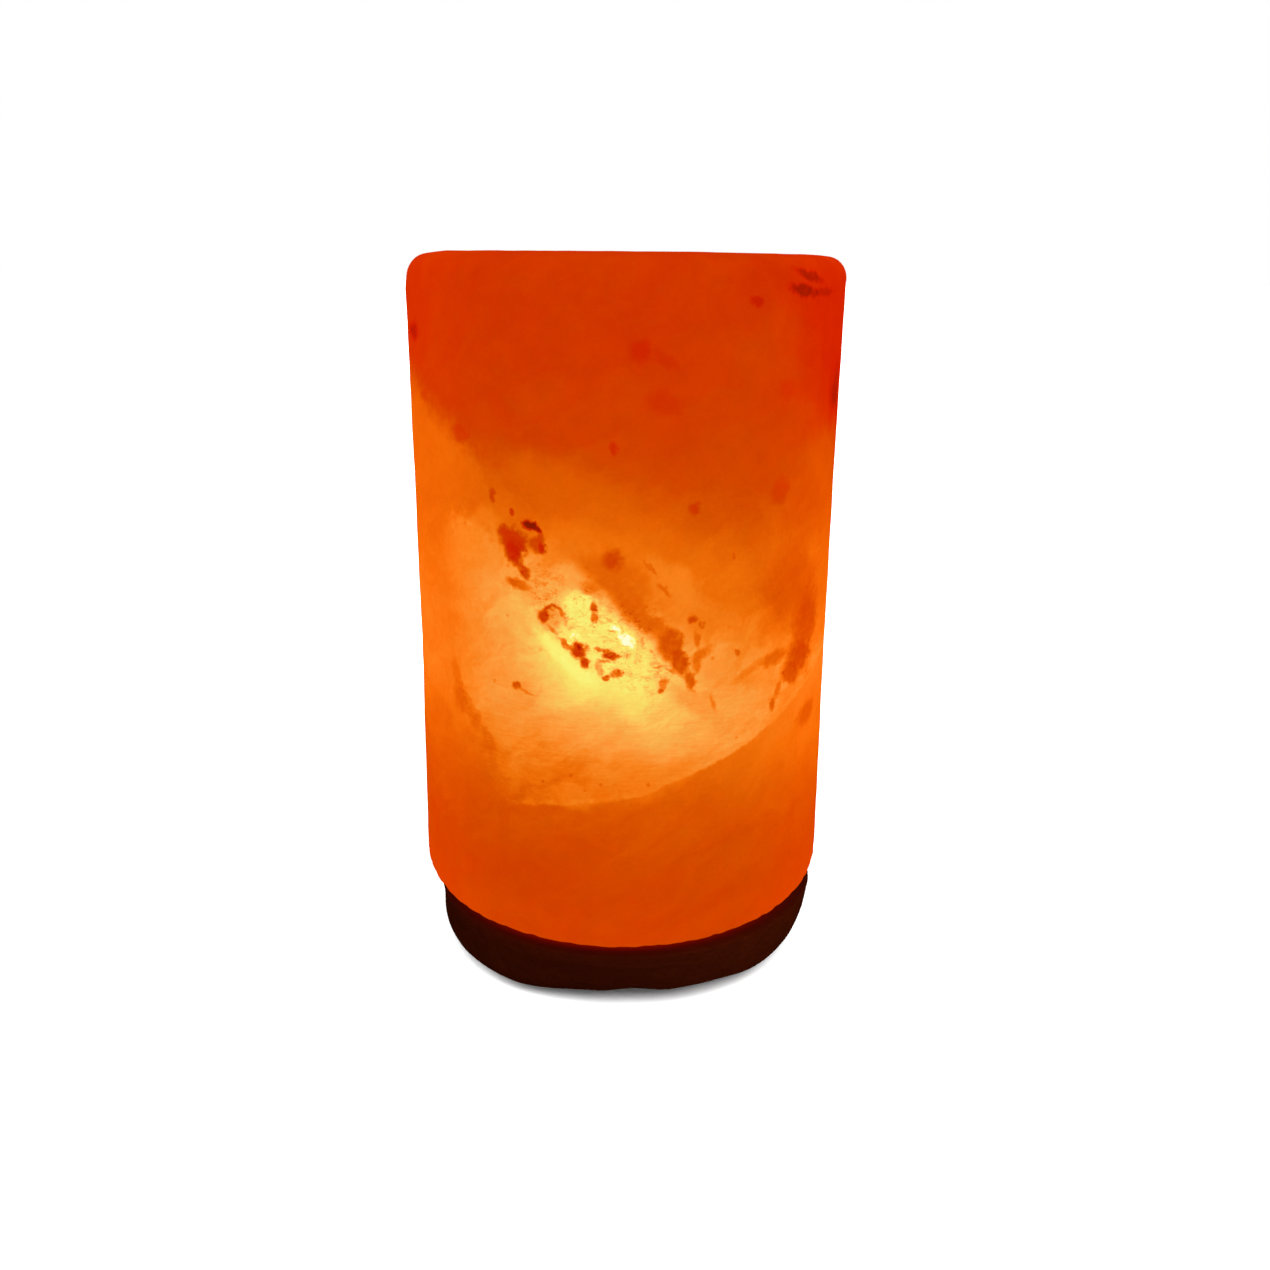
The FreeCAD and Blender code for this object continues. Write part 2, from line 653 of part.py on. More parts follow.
def make_spring_clip():
    """Stamped ring with bowed legs that press on the wall of the bore."""
    ring_inner_r = thread_r + CLIP_BARREL_GAP
    ring_outer_r = ring_inner_r + CLIP_RING_WIDTH
    clip_ring = ring(ring_outer_r, ring_inner_r, shoulder_top, clip_top)
    half_width = CLIP_LEG_WIDTH / 2
    touch_x = math.sqrt((cavity_r - CLIP_BORE_GAP) ** 2 - half_width ** 2)
    root_x = math.sqrt(ring_outer_r ** 2 - half_width ** 2)
    middle_z = shoulder_top + CLIP_LEG_RISE / 2
    tip_z = shoulder_top + CLIP_LEG_RISE
    circle = Part.Circle(
        V(root_x, 0, shoulder_top), V(touch_x, 0, middle_z), V(touch_x - CLIP_TIP_INSET, 0, tip_z)
    )
    centre = (circle.Center.x, circle.Center.z)
    outer_r = circle.Radius
    inner_r = outer_r - CLIP_THICKNESS
    root_angle = math.degrees(math.asin((shoulder_top - centre[1]) / outer_r))
    tip_angle = math.degrees(math.asin((tip_z - centre[1]) / outer_r))
    middle_angle = (root_angle + tip_angle) / 2
    outer = [on_circle(centre, outer_r, angle) for angle in (root_angle, middle_angle, tip_angle)]
    inner = [on_circle(centre, inner_r, angle) for angle in (root_angle, middle_angle, tip_angle)]
    outline = [arc(*outer), line(outer[2], inner[2]), arc(*inner), line(inner[0], outer[0])]
    face = Part.Face(Part.Wire(Part.__sortEdges__(outline)))
    face.translate(V(0, -half_width, 0))
    leg = face.extrude(V(0, CLIP_LEG_WIDTH, 0))
    foot = block(ring_inner_r + 1, root_x, -half_width, half_width, shoulder_top, clip_top)
    clip = clip_ring.multiFuse(around(leg.fuse(foot), CLIP_LEG_COUNT, 90))
    return clip.removeSplitter()


def make_ring_nut():
    """Ring nut on the barrel's thread, with notches for the fingers."""
    inner_r = thread_r + NUT_THREAD_GAP
    outer_r = inner_r + NUT_WALL
    nut = ring(outer_r, inner_r, clip_top, clip_top + NUT_HEIGHT)
    notch = moved(
        disc(NUT_NOTCH_DIA / 2, clip_top - 1, clip_top + NUT_HEIGHT + 1),
        V(outer_r + NUT_NOTCH_DIA / 4, 0, 0),
    )
    return nut.cut(around(notch, NUT_NOTCH_COUNT))


# ---------------------------------------------------------------- the bulb

def make_bulb_glass():
    """Blown tubular glass: neck, two tangent arcs that widen it, straight side and round top."""
    neck_radius = NECK_DIA / 2
    swell_bottom = rim_z + SWELL_START
    swell_top = swell_bottom + SWELL_HEIGHT
    widening = glass_r - neck_radius
    bend_r = (SWELL_HEIGHT ** 2 + widening ** 2) / (4 * widening)
    turn = math.degrees(math.asin(SWELL_HEIGHT / 2 / bend_r))
    low_centre = (neck_radius + bend_r, swell_bottom)
    high_centre = (glass_r - bend_r, swell_top)
    dome_centre = (0, bulb_top - glass_r)
    edges = []
    for wall in (0, GLASS_WALL):
        low = [on_circle(low_centre, bend_r + wall, 180 - part * turn) for part in (0, 0.5, 1)]
        high = [on_circle(high_centre, bend_r - wall, part * turn - turn) for part in (0, 0.5, 1)]
        dome = [on_circle(dome_centre, glass_r - wall, angle) for angle in (0, 45, 90)]
        edges += [
            line((neck_radius - wall, neck_bottom), low[0]),
            arc(*low),
            arc(*high),
            line(high[2], dome[0]),
            arc(*dome),
        ]
    edges.append(line((neck_radius, neck_bottom), (neck_radius - GLASS_WALL, neck_bottom)))
    edges.append(line((0, bulb_top), (0, bulb_top - GLASS_WALL)))
    return turned_outline(edges)


def lead_routes():
    """The two leads: from the bulb's contact and from its cap, through the pinch, to the filament."""
    pinch_bottom = neck_bottom + STEM_TUBE_HEIGHT
    pinch_top = pinch_bottom + PINCH_HEIGHT
    inside_tube = STEM_BORE_DIA / 2 - LEAD_DIA / 2 - 0.2
    cap_wall_x = cap_r - CAP_WALL - SOLDER_GAP
    contact_top = bulb_bottom + CONTACT_PLATE
    to_contact = [
        V(0, 0, contact_top),
        V(0, 0, neck_bottom - 4),
        V(-inside_tube, 0, neck_bottom),
        V(-inside_tube, 0, pinch_bottom - 2),
        V(-LEAD_SPREAD, 0, pinch_bottom + 1),
        V(-LEAD_SPREAD, 0, pinch_top),
        V(-FILAMENT_R, 0, filament_z - 2),
        V(-FILAMENT_R, 0, filament_z),
    ]
    to_cap = [
        V(cap_wall_x, 0, neck_bottom - 3),
        V(inside_tube, 0, neck_bottom - 2),
        V(inside_tube, 0, pinch_bottom - 2),
        V(LEAD_SPREAD, 0, pinch_bottom + 1),
        V(LEAD_SPREAD, 0, pinch_top),
        V(FILAMENT_R, 0, filament_z - 2),
        V(FILAMENT_R, 0, filament_z),
    ]
    return to_contact, to_cap


def make_lead_wires():
    """Both leads, each one wire from the cap end to the filament."""
    return Part.makeCompound([wire_along(route, LEAD_DIA) for route in lead_routes()])


def button_centre():
    """The middle of the glass button that holds the supports."""
    pinch_top = neck_bottom + STEM_TUBE_HEIGHT + PINCH_HEIGHT
    return V(0, 0, pinch_top + STEM_ROD_HEIGHT)


def support_route(angle):
    """A support, from the button to just under the filament."""
    tip = polar(FILAMENT_R, angle, filament_z - FILAMENT_DIA / 2 - SUPPORT_DIA / 2)
    return [button_centre(), tip]


def make_support_wires():
    """Thin supports between the button and the filament."""
    button = Part.makeSphere(STEM_BUTTON_DIA / 2 - 0.4, button_centre())
    return Part.makeCompound([
        wire_along(support_route(angle), SUPPORT_DIA).cut(button) for angle in SUPPORT_ANGLES
    ])


def make_bulb_stem():
    """Glass mount: flare under the neck, tube, flattened pinch round the leads, rod and button."""
    flare_bottom = neck_bottom - STEM_FLARE_THICKNESS
    pinch_bottom = neck_bottom + STEM_TUBE_HEIGHT
    pinch_top = pinch_bottom + PINCH_HEIGHT
    tube = turned([
        (STEM_BORE_DIA / 2, flare_bottom),
        (NECK_DIA / 2, flare_bottom),
        (NECK_DIA / 2, neck_bottom),
        (NECK_DIA / 2 - GLASS_WALL - STEM_GAP, neck_bottom),
        (STEM_DIA / 2, neck_bottom + STEM_FLARE_THICKNESS),
        (STEM_DIA / 2, pinch_bottom),
        (STEM_BORE_DIA / 2, pinch_bottom),
    ])
    half_width = PINCH_WIDTH / 2
    half_depth = PINCH_THICKNESS / 2
    pinch = block(-half_width, half_width, -half_depth, half_depth, pinch_bottom - 1, pinch_top)
    upright = [edge for edge in pinch.Edges if edge.BoundBox.ZLength > PINCH_HEIGHT / 2]
    pinch = pinch.makeFillet(PINCH_THICKNESS / 3, upright)
    rod = disc(STEM_ROD_DIA / 2, pinch_top - 1, pinch_top + STEM_ROD_HEIGHT)
    button = Part.makeSphere(STEM_BUTTON_DIA / 2, button_centre())
    stem = tube.multiFuse([pinch, rod, button])
    wires = [wire_along(route, LEAD_DIA) for route in lead_routes()]
    supports = [wire_along(support_route(angle), SUPPORT_DIA) for angle in SUPPORT_ANGLES]
    socket = Part.makeSphere(STEM_BUTTON_DIA / 2 - 0.4, button_centre())
    return stem.cut(wires + [support.cut(socket) for support in supports])


def make_filament():
    """Half a ring of tungsten between the tips of the leads, round the front of the bulb."""
    filament = Part.makeTorus(FILAMENT_R, FILAMENT_DIA / 2, V(0, 0, 0), Z_AXIS, -180, 180, 180)
    filament.rotate(V(0, 0, 0), Z_AXIS, 180)
    filament.translate(V(0, 0, filament_z))
    tips = [Part.makeCylinder(LEAD_DIA / 2, LEAD_DIA, V(side * FILAMENT_R, 0, filament_z - LEAD_DIA))
            for side in (-1, 1)]
    return filament.cut(tips)


def make_bulb_cap():
    """Thin metal cap of the bulb: threaded wall, flared rim and turned-in lower edge."""
    inner_r = cap_r - CAP_WALL
    wall_bottom = bulb_bottom + INSULATOR_TOP
    flare_bottom = rim_z - CAP_RIM_HEIGHT
    rim_r = CAP_RIM_DIA / 2
    return turned([
        (inner_r - CAP_CHAMFER, wall_bottom),
        (cap_r - CAP_CHAMFER, wall_bottom),
        (cap_r, wall_bottom + CAP_CHAMFER),
        (cap_r, flare_bottom),
        (rim_r, rim_z),
        (rim_r - CAP_WALL, rim_z),
        (inner_r, flare_bottom),
        (inner_r, wall_bottom + CAP_CHAMFER),
        (inner_r - CAP_CHAMFER, wall_bottom + CAP_WALL),
    ])


def make_cap_insulator():
    """Glass insulator between the cap and its contact."""
    wall_bottom = bulb_bottom + INSULATOR_TOP
    contact_top = bulb_bottom + CONTACT_PLATE
    hole_r = CONTACT_HOLE_DIA / 2
    return turned([
        (hole_r, contact_top),
        (INSULATOR_BOTTOM_DIA / 2, contact_top),
        (cap_r - CAP_WALL - CAP_CHAMFER, wall_bottom),
        (hole_r, wall_bottom),
    ])


def make_cap_contact():
    """Domed contact at the foot of the bulb."""
    contact_top = bulb_bottom + CONTACT_PLATE
    contact_r = CONTACT_DIA / 2
    return turned([
        (0, bulb_bottom),
        (contact_r - CONTACT_PLATE / 2, bulb_bottom),
        (contact_r, bulb_bottom + CONTACT_PLATE / 2),
        (contact_r, contact_top),
        (0, contact_top),
    ])


PIECES = {
    "salt_block": make_salt_block,
    "wood_base": make_wood_base,
    "foot_pads": make_foot_pads,
    "base_screws": make_base_screws,
    "screw_plugs": make_screw_plugs,
    "holder_cap": make_holder_cap,
    "holder_barrel": make_holder_barrel,
    "contact_block": make_contact_block,
    "screw_shell": make_screw_shell,
    "centre_contact": make_centre_contact,
    "side_contact": make_side_contact,
    "block_rivets": make_block_rivets,
    "terminal_blocks": make_terminal_blocks,
    "terminal_screws": make_terminal_screws,
    "spring_clip": make_spring_clip,
    "ring_nut": make_ring_nut,
    "bulb_glass": make_bulb_glass,
    "bulb_stem": make_bulb_stem,
    "lead_wires": make_lead_wires,
    "support_wires": make_support_wires,
    "filament": make_filament,
    "bulb_cap": make_bulb_cap,
    "cap_insulator": make_cap_insulator,
    "cap_contact": make_cap_contact,
}

os.makedirs("parts", exist_ok=True)
for name, make in PIECES.items():
    piece = make()
    piece.exportStep(f"parts/{name}.step")
    print(f"{name}: {len(piece.Solids)} solid(s), valid {piece.isValid()}, {piece.Volume / 1000:.3f} cm3")
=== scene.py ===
"""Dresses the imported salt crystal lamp: glowing turned salt, dark turned wood, sprung holder, bulb.

Every object is in metres in the row frame. Sizes in this file are millimetres, and turn into metres
when a mesh is filled. The front of the lamp faces -Y, and angles round the salt run from the front
towards +X.
"""

import logging
import math
from dataclasses import dataclass
from enum import Enum
from typing import Dict, List, Sequence, Tuple, Union

import bpy
import numpy as np
from mathutils import Euler, Matrix


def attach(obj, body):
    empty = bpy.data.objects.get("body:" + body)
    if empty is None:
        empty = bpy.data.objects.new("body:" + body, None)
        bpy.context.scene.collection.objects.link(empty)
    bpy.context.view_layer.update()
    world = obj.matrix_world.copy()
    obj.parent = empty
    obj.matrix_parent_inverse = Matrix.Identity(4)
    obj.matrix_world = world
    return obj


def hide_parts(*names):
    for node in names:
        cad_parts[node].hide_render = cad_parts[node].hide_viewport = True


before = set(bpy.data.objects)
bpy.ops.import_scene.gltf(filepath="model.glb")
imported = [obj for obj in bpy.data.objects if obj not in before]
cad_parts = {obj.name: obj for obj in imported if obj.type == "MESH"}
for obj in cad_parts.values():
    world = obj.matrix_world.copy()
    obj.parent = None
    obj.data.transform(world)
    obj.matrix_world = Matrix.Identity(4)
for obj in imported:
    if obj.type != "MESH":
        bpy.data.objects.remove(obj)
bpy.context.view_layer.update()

LOG = logging.getLogger("salt_lamp")
MM = 0.001
TURN = 2.0 * math.pi

Object = bpy.types.Object
Node = bpy.types.Node
Socket = bpy.types.NodeSocket
Tree = bpy.types.NodeTree

Array = np.ndarray
Colour = Tuple[float, float, float]
Point = Tuple[float, float, float]
Feed = Union[Socket, float, Sequence[float]]
Grid = Tuple[Array, List[Array]]


class Body(Enum):
    """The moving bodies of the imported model."""

    LAMP = "lamp_body"
    HOLDER = "holder"
    BULB = "bulb"


class Edge(Enum):
    """How ragged the outline of a mark in the salt is."""

    FINE = "fine"
    COARSE = "coarse"


# ------------------------------------------------------------------------------- surfaces


class Ripple:
    """Smooth unevenness: the sum of plane waves with random directions, lengths and phases."""

    def __init__(self, seed: int, shortest: float, longest: float, count: int = 28) -> None:
        """Draws the waves.

        Args:
            seed: start of the random draw.
            shortest: shortest wave, in millimetres.
            longest: longest wave, in millimetres.
            count: number of waves.
        """
        draw = np.random.default_rng(seed)
        heading = draw.normal(size=(count, 3))
        heading /= np.linalg.norm(heading, axis=1, keepdims=True)
        length = np.exp(draw.uniform(math.log(shortest), math.log(longest), count))
        self.waves = heading * (TURN / length)[:, None]
        self.phases = draw.uniform(0.0, TURN, count)
        self.share = math.sqrt(2.0 / count)

    def at(self, points: Array) -> Array:
        """Height of the waves at points whose last axis is x, y, z; it mostly lies within -2 to 2."""
        return np.sin(points @ self.waves.T + self.phases).sum(axis=-1) * self.share


def smooth_step(value: Array, low: float, high: float) -> Array:
    """Rises from 0 at low to 1 at high along 3t^2 - 2t^3."""
    part = np.clip((value - low) / (high - low), 0.0, 1.0)
    return part * part * (3.0 - 2.0 * part)


def eased(value: Array, positions: Array, amounts: Array) -> Array:
    """Amount at a value, between the amounts given at rising positions, joined by smooth steps."""
    after = np.clip(np.searchsorted(positions, value, side="right"), 1, len(positions) - 1)
    low, high = positions[after - 1], positions[after]
    share = smooth_step((value - low) / (high - low), 0.0, 1.0)
    return amounts[after - 1] * (1.0 - share) + amounts[after] * share


def quarter(centre: Tuple[float, float], radius: float, start: float, end: float, count: int) -> Array:
    """Points of an arc of a profile: centre + radius * (cos a, sin a), as (radius, height) rows."""
    angle = np.radians(np.linspace(start, end, count))
    return np.stack([centre[0] + radius * np.cos(angle), centre[1] + radius * np.sin(angle)], axis=1)


def run(start: Tuple[float, float], end: Tuple[float, float], count: int) -> Array:
    """Evenly spaced points of a straight part of a profile, as (radius, height) rows."""
    return np.linspace(start, end, count)


def joined(parts: Sequence[Array]) -> Array:
    """One profile from its parts in order, with repeated points taken out."""
    rows = np.concatenate(parts)
    step = np.linalg.norm(np.diff(rows, axis=0), axis=1)
    return rows[np.concatenate([[True], step > 1e-6])]


def outward(profile: Array) -> Array:
    """Unit normals of a profile that has the material on its left, as (radius, height) rows."""
    way = np.gradient(profile, axis=0)
    way /= np.linalg.norm(way, axis=1, keepdims=True)
    return np.stack([way[:, 1], -way[:, 0]], axis=1)


def angles(columns: int) -> Array:
    """Angles of the columns of a turned grid, from the front towards +X."""
    return np.arange(columns) * (TURN / columns)


def on_grid(radius: Array, height: Array) -> Array:
    """Points of a turned surface, x = r sin a, y = -r cos a, z = h, on a rows by columns grid."""
    turn = angles(radius.shape[1])[None, :]
    return np.stack([radius * np.sin(turn), -radius * np.cos(turn), height], axis=-1)


def spread(profile: Array, columns: int) -> Tuple[Array, Array]:
    """Radius and height of a profile of (radius, height) rows, repeated over the columns."""
    return np.repeat(profile[:, :1], columns, axis=1), np.repeat(profile[:, 1:], columns, axis=1)


def pipe_faces(rows: int, columns: int) -> List[Array]:
    """Faces of a pipe of rows by columns points, closed by one more point at each end."""
    corner = np.arange(rows * columns).reshape(rows, columns)
    beside = np.roll(corner, -1, axis=1)
    quads = np.stack([corner[:-1], corner[1:], beside[1:], beside[:-1]], axis=-1).reshape(-1, 4)
    first, last = rows * columns, rows * columns + 1
    head = np.stack([np.full(columns, first), corner[0], beside[0]], axis=-1)
    foot = np.stack([np.full(columns, last), beside[-1], corner[-1]], axis=-1)
    return [quads, head, foot]


def turned(radius: Array, height: Array, loop: bool) -> Grid:
    """A surface turned about Z.

    Args:
        radius: r for each row of the profile and each column round the axis.
        height: h on the same grid.
        loop: True where the profile closes on itself, False where it runs from pole to pole.

    Returns:
        The points, and the faces as arrays of corner numbers.
    """
    rows, columns = radius.shape
    points = on_grid(radius, height)
    if not loop:
        body = points[1:-1].reshape(-1, 3)
        poles = np.stack([points[0].mean(axis=0), points[-1].mean(axis=0)])
        return np.concatenate([body, poles]), pipe_faces(rows - 2, columns)
    corner = np.arange(rows * columns).reshape(rows, columns)
    beside = np.roll(corner, -1, axis=1)
    under, under_beside = np.roll(corner, -1, axis=0), np.roll(beside, -1, axis=0)
    faces = np.stack([corner, under, under_beside, beside], axis=-1).reshape(-1, 4)
    return points.reshape(-1, 3), [faces]


def turned_profile(profile: Array, columns: int, loop: bool) -> Grid:
    """A plain turned surface of one profile of (radius, height) rows."""
    return turned(*spread(profile, columns), loop)


def tube(path: Array, side: Array, thickness: float, corners: int) -> Grid:
    """A round wire: path + t (side cos b + across sin b), with across square to path and side.

    Args:
        path: points along the middle of the wire.
        side: for each point, a direction roughly square to the path.
        thickness: diameter of the wire.
        corners: corners round the wire.

    Returns:
        The points, and the faces as arrays of corner numbers, with closed ends.
    """
    way = np.gradient(path, axis=0)
    way /= np.linalg.norm(way, axis=1, keepdims=True)
    side = side - (side * way).sum(axis=1, keepdims=True) * way
    side /= np.linalg.norm(side, axis=1, keepdims=True)
    across = np.cross(way, side)
    turn = angles(corners)
    cosine, sine = np.cos(turn)[None, :, None], np.sin(turn)[None, :, None]
    around = side[:, None] * cosine + across[:, None] * sine
    points = path[:, None] + around * (thickness / 2.0)
    ends = np.stack([path[0], path[-1]])
    return np.concatenate([points.reshape(-1, 3), ends]), pipe_faces(len(path), corners)


def moved(grid: Grid, shift: Sequence[float]) -> Grid:
    """The same surface, shifted."""
    return grid[0] + np.asarray(shift), grid[1]


def set_round(profile: Array, corners: int, circle_r: float, degrees: Sequence[float]) -> List[Grid]:
    """Copies of a turned surface on a circle, at angles from the front towards +X."""
    copies = []
    for angle in degrees:
        turn = math.radians(angle)
        place = (circle_r * math.sin(turn), -circle_r * math.cos(turn), 0.0)
        copies.append(moved(turned_profile(profile, corners, loop=False), place))
    return copies


def signed_volume(points: Array, faces: Sequence[Array]) -> float:
    """Volume inside a closed surface, negative where its faces point inwards."""
    total = 0.0
    for group in faces:
        for last in range(2, group.shape[1]):
            a, b, c = points[group[:, 0]], points[group[:, last - 1]], points[group[:, last]]
            total += float((a * np.cross(b, c)).sum()) / 6.0
    return total


def gathered(grids: Sequence[Grid]) -> Tuple[List[List[float]], List[List[int]]]:
    """Puts closed surfaces together, turns inside-out ones round, and changes millimetres to metres.

    Args:
        grids: the surfaces.

    Returns:
        All points, and all faces as lists of corner numbers.
    """
    points: List[Array] = []
    faces: List[List[int]] = []
    filled = 0
    for grid_points, grid_faces in grids:
        inside_out = signed_volume(grid_points, grid_faces) < 0.0
        for group in grid_faces:
            ordered = group[:, ::-1] if inside_out else group
            faces.extend((ordered + filled).tolist())
        points.append(grid_points)
        filled += len(grid_points)
    return (np.concatenate(points) * MM).tolist(), faces


def placed(name: str, data: bpy.types.ID) -> Object:
    """A new object in the scene."""
    made = bpy.data.objects.new(name, data)
    bpy.context.scene.collection.objects.link(made)
    return made


def piece(
    name: str, grids: Sequence[Grid], body: Body, stands_for: str, crease: float = 40.0
) -> Object:
    """Fills one object from closed surfaces, and hangs it on its body in place of a CAD node.

    Args:
        name: name of the piece.
        grids: its closed surfaces, in millimetres.
        body: the body it rides on.
        stands_for: the CAD node it replaces.
        crease: edges that bend more than this many degrees stay sharp.

    Returns:
        The object, with smooth faces.
    """
    points, faces = gathered(grids)
    mesh = bpy.data.meshes.new(name)
    mesh.from_pydata(points, [], faces)
    mesh.shade_smooth()
    mesh.set_sharp_from_angle(angle=math.radians(crease))
    mesh.update()
    made = placed(name, mesh)
    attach(made, body.value)
    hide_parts(stands_for)
    LOG.info("%s: %d points, %d faces, in place of %s", name, len(points), len(faces), stands_for)
    return made


def cut(target: Object, tools: Sequence[Grid]) -> None:
    """Cuts closed surfaces out of a piece with one boolean, and keeps the result as its mesh.

    Args:
        target: the piece.
        tools: what is cut away, in millimetres.
    """
    points, faces = gathered(tools)
    tool_mesh = bpy.data.meshes.new("cutter")
    tool_mesh.from_pydata(points, [], faces)
    tool = placed("cutter", tool_mesh)
    drill = target.modifiers.new("drill", "BOOLEAN")
    drill.operation = "DIFFERENCE"
    drill.solver = "MANIFOLD"
    drill.object = tool
    graph = bpy.context.evaluated_depsgraph_get()
    result = bpy.data.meshes.new_from_object(target.evaluated_get(graph))
    target.modifiers.clear()
    whole = target.data
    target.data = result
    bpy.data.meshes.remove(whole)
    bpy.data.objects.remove(tool)
    bpy.data.meshes.remove(tool_mesh)
    LOG.info("%s cut: %d faces", target.name, len(result.polygons))


def rolled_thread(turn: Array, height: Array, pitch: float) -> Array:
    """A rounded thread, 0 in the valleys and 1 on the crests: (1 + cos 2 pi (h/p + a/2 pi)) / 2."""
    return 0.5 + 0.5 * np.cos(TURN * (height / pitch + turn / TURN))


# ------------------------------------------------------------------------------- node graphs


class Graph:
    """Short words for filling one node tree."""

    def __init__(self, tree: Tree) -> None:
        """Keeps the tree."""
        self.tree = tree

    def node(self, kind: str, feeds: Dict[Union[str, int], Feed], **settings: object) -> Node:
        """Adds a shader node.

        Args:
            kind: its type, without the leading ShaderNode.
            feeds: what goes into its inputs, a socket or a constant.
            settings: its own properties.

        Returns:
            The node.
        """
        made = self.tree.nodes.new("ShaderNode" + kind)
        for name, value in settings.items():
            setattr(made, name, value)
        for name, value in feeds.items():
            self.feed(made.inputs[name], value)
        return made

    def feed(self, socket: Socket, value: Feed) -> None:
        """Links a socket into an input, or sets the input to a constant."""
        if isinstance(value, Socket):
            self.tree.links.new(value, socket)
        else:
            socket.default_value = value

    def math(self, operation: str, *feeds: Feed, clamp: bool = False) -> Socket:
        """Result of a Math node."""
        return self.node("Math", dict(enumerate(feeds)), operation=operation, use_clamp=clamp).outputs[0]

    def vector(self, operation: str, *feeds: Feed) -> Socket:
        """Vector result of a Vector Math node."""
        return self.node("VectorMath", dict(enumerate(feeds)), operation=operation).outputs["Vector"]

    def dot(self, first: Feed, second: Feed) -> Socket:
        """Dot product of two vectors."""
        return self.node("VectorMath", {0: first, 1: second}, operation="DOT_PRODUCT").outputs["Value"]

    def length(self, feed: Feed) -> Socket:
        """Length of a vector."""
        return self.node("VectorMath", {0: feed}, operation="LENGTH").outputs["Value"]

    def scaled(self, vector: Feed, gain: Feed) -> Socket:
        """A vector times a number."""
        return self.node("VectorMath", {0: vector, "Scale": gain}, operation="SCALE").outputs["Vector"]

    def part(self, vector: Feed, axis: str) -> Socket:
        """The X, Y or Z of a vector."""
        return self.node("SeparateXYZ", {0: vector}).outputs[axis]

    def leaned(self, vector: Feed, degrees: float) -> Socket:
        """A vector turned about Y."""
        feeds = {"Vector": vector, "Angle": math.radians(degrees)}
        return self.node("VectorRotate", feeds, rotation_type="Y_AXIS").outputs[0]

    def off_axis(self, place: Feed) -> Socket:
        """Distance of a place from the lamp's axis."""
        return self.length(self.vector("MULTIPLY", place, (1.0, 1.0, 0.0)))

    def ramped(self, value: Feed, low: Feed, high: Feed, start: Feed = 0.0, end: Feed = 1.0) -> Socket:
        """A smooth step of a value, from start at low to end at high."""
        feeds = {"Value": value, "From Min": low, "From Max": high, "To Min": start, "To Max": end}
        return self.node("MapRange", feeds, interpolation_type="SMOOTHSTEP").outputs[0]

    def straight(self, value: Feed, low: float, high: float, start: float, end: float) -> Socket:
        """A straight, clamped change of a value, from start at low to end at high."""
        feeds = {"Value": value, "From Min": low, "From Max": high, "To Min": start, "To Max": end}
        return self.node("MapRange", feeds).outputs[0]

    def bell(self, value: Feed, middle: float, width: float) -> Socket:
        """A bell curve: e to the power of -((value - middle) / width) squared."""
        offset = self.math("DIVIDE", self.math("SUBTRACT", value, middle), width)
        return self.math("EXPONENT", self.math("MULTIPLY", self.math("MULTIPLY", offset, offset), -1.0))

    def noise(
        self, place: Feed, per_mm: float, detail: float = 3.0, rough: float = 0.5, bend: float = 0.0
    ) -> Node:
        """A noise node on a place in millimetres; per_mm is its scale."""
        feeds = {"Vector": place, "Scale": per_mm, "Detail": detail, "Roughness": rough, "Distortion": bend}
        return self.node("TexNoise", feeds)

    def swing(
        self, place: Feed, per_mm: float, detail: float = 3.0, rough: float = 0.5, bend: float = 0.0
    ) -> Socket:
        """Noise that swings about zero, mostly within -1 to 1."""
        value = self.noise(place, per_mm, detail, rough, bend).outputs[0]
        return self.math("MULTIPLY_ADD", value, 4.0, -2.0)

    def _mix(self, kind: str, label: str, share: Feed, first: Feed, second: Feed) -> Socket:
        """Result of a Mix node for one kind of data, whose sockets carry a label."""
        made = self.tree.nodes.new("ShaderNodeMix")
        made.data_type = kind
        for name, value in (("Factor_Float", share), ("A_" + label, first), ("B_" + label, second)):
            self.feed(next(s for s in made.inputs if s.identifier == name), value)
        return next(s for s in made.outputs if s.identifier == "Result_" + label)

    def blend(self, share: Feed, first: Feed, second: Feed) -> Socket:
        """A number between two numbers."""
        return self._mix("FLOAT", "Float", share, first, second)

    def tint(self, share: Feed, first: Feed, second: Feed) -> Socket:
        """A colour between two colours."""
        pair = [feed if isinstance(feed, Socket) else (*feed, 1.0) for feed in (first, second)]
        return self._mix("RGBA", "Color", share, *pair)

    def colours(self, value: Feed, stops: Sequence[Tuple[float, Colour]]) -> Socket:
        """A colour ramp with the given stops of (position, linear colour)."""
        made = self.node("ValToRGB", {0: value})
        elements = made.color_ramp.elements
        while len(elements) < len(stops):
            elements.new(1.0)
        for element, (position, colour) in zip(elements, stops):
            element.position = position
            element.color = (*colour, 1.0)
        return made.outputs["Color"]

    def place(self) -> Socket:
        """Object coordinates in millimetres."""
        return self.scaled(self.node("TexCoord", {}).outputs["Object"], 1.0 / MM)

    def bump(self, shader: Node, height: Feed, depth: float, strength: float) -> None:
        """Bends a shader's normals by a height that is depth millimetres deep."""
        made = self.node("Bump", {"Height": height, "Distance": depth * MM, "Strength": strength})
        self.feed(shader.inputs["Normal"], made.outputs[0])

    def group(self, tree: Tree, **feeds: Feed) -> Node:
        """Adds a node group and feeds its inputs; an underscore in a name stands for a space."""
        made = self.tree.nodes.new("ShaderNodeGroup")
        made.node_tree = tree
        for name, value in feeds.items():
            self.feed(made.inputs[name.replace("_", " ")], value)
        return made


def node_of(tree: Tree, kind: str) -> Node:
    """The only node of a kind in a tree."""
    return next(node for node in tree.nodes if node.type == kind)


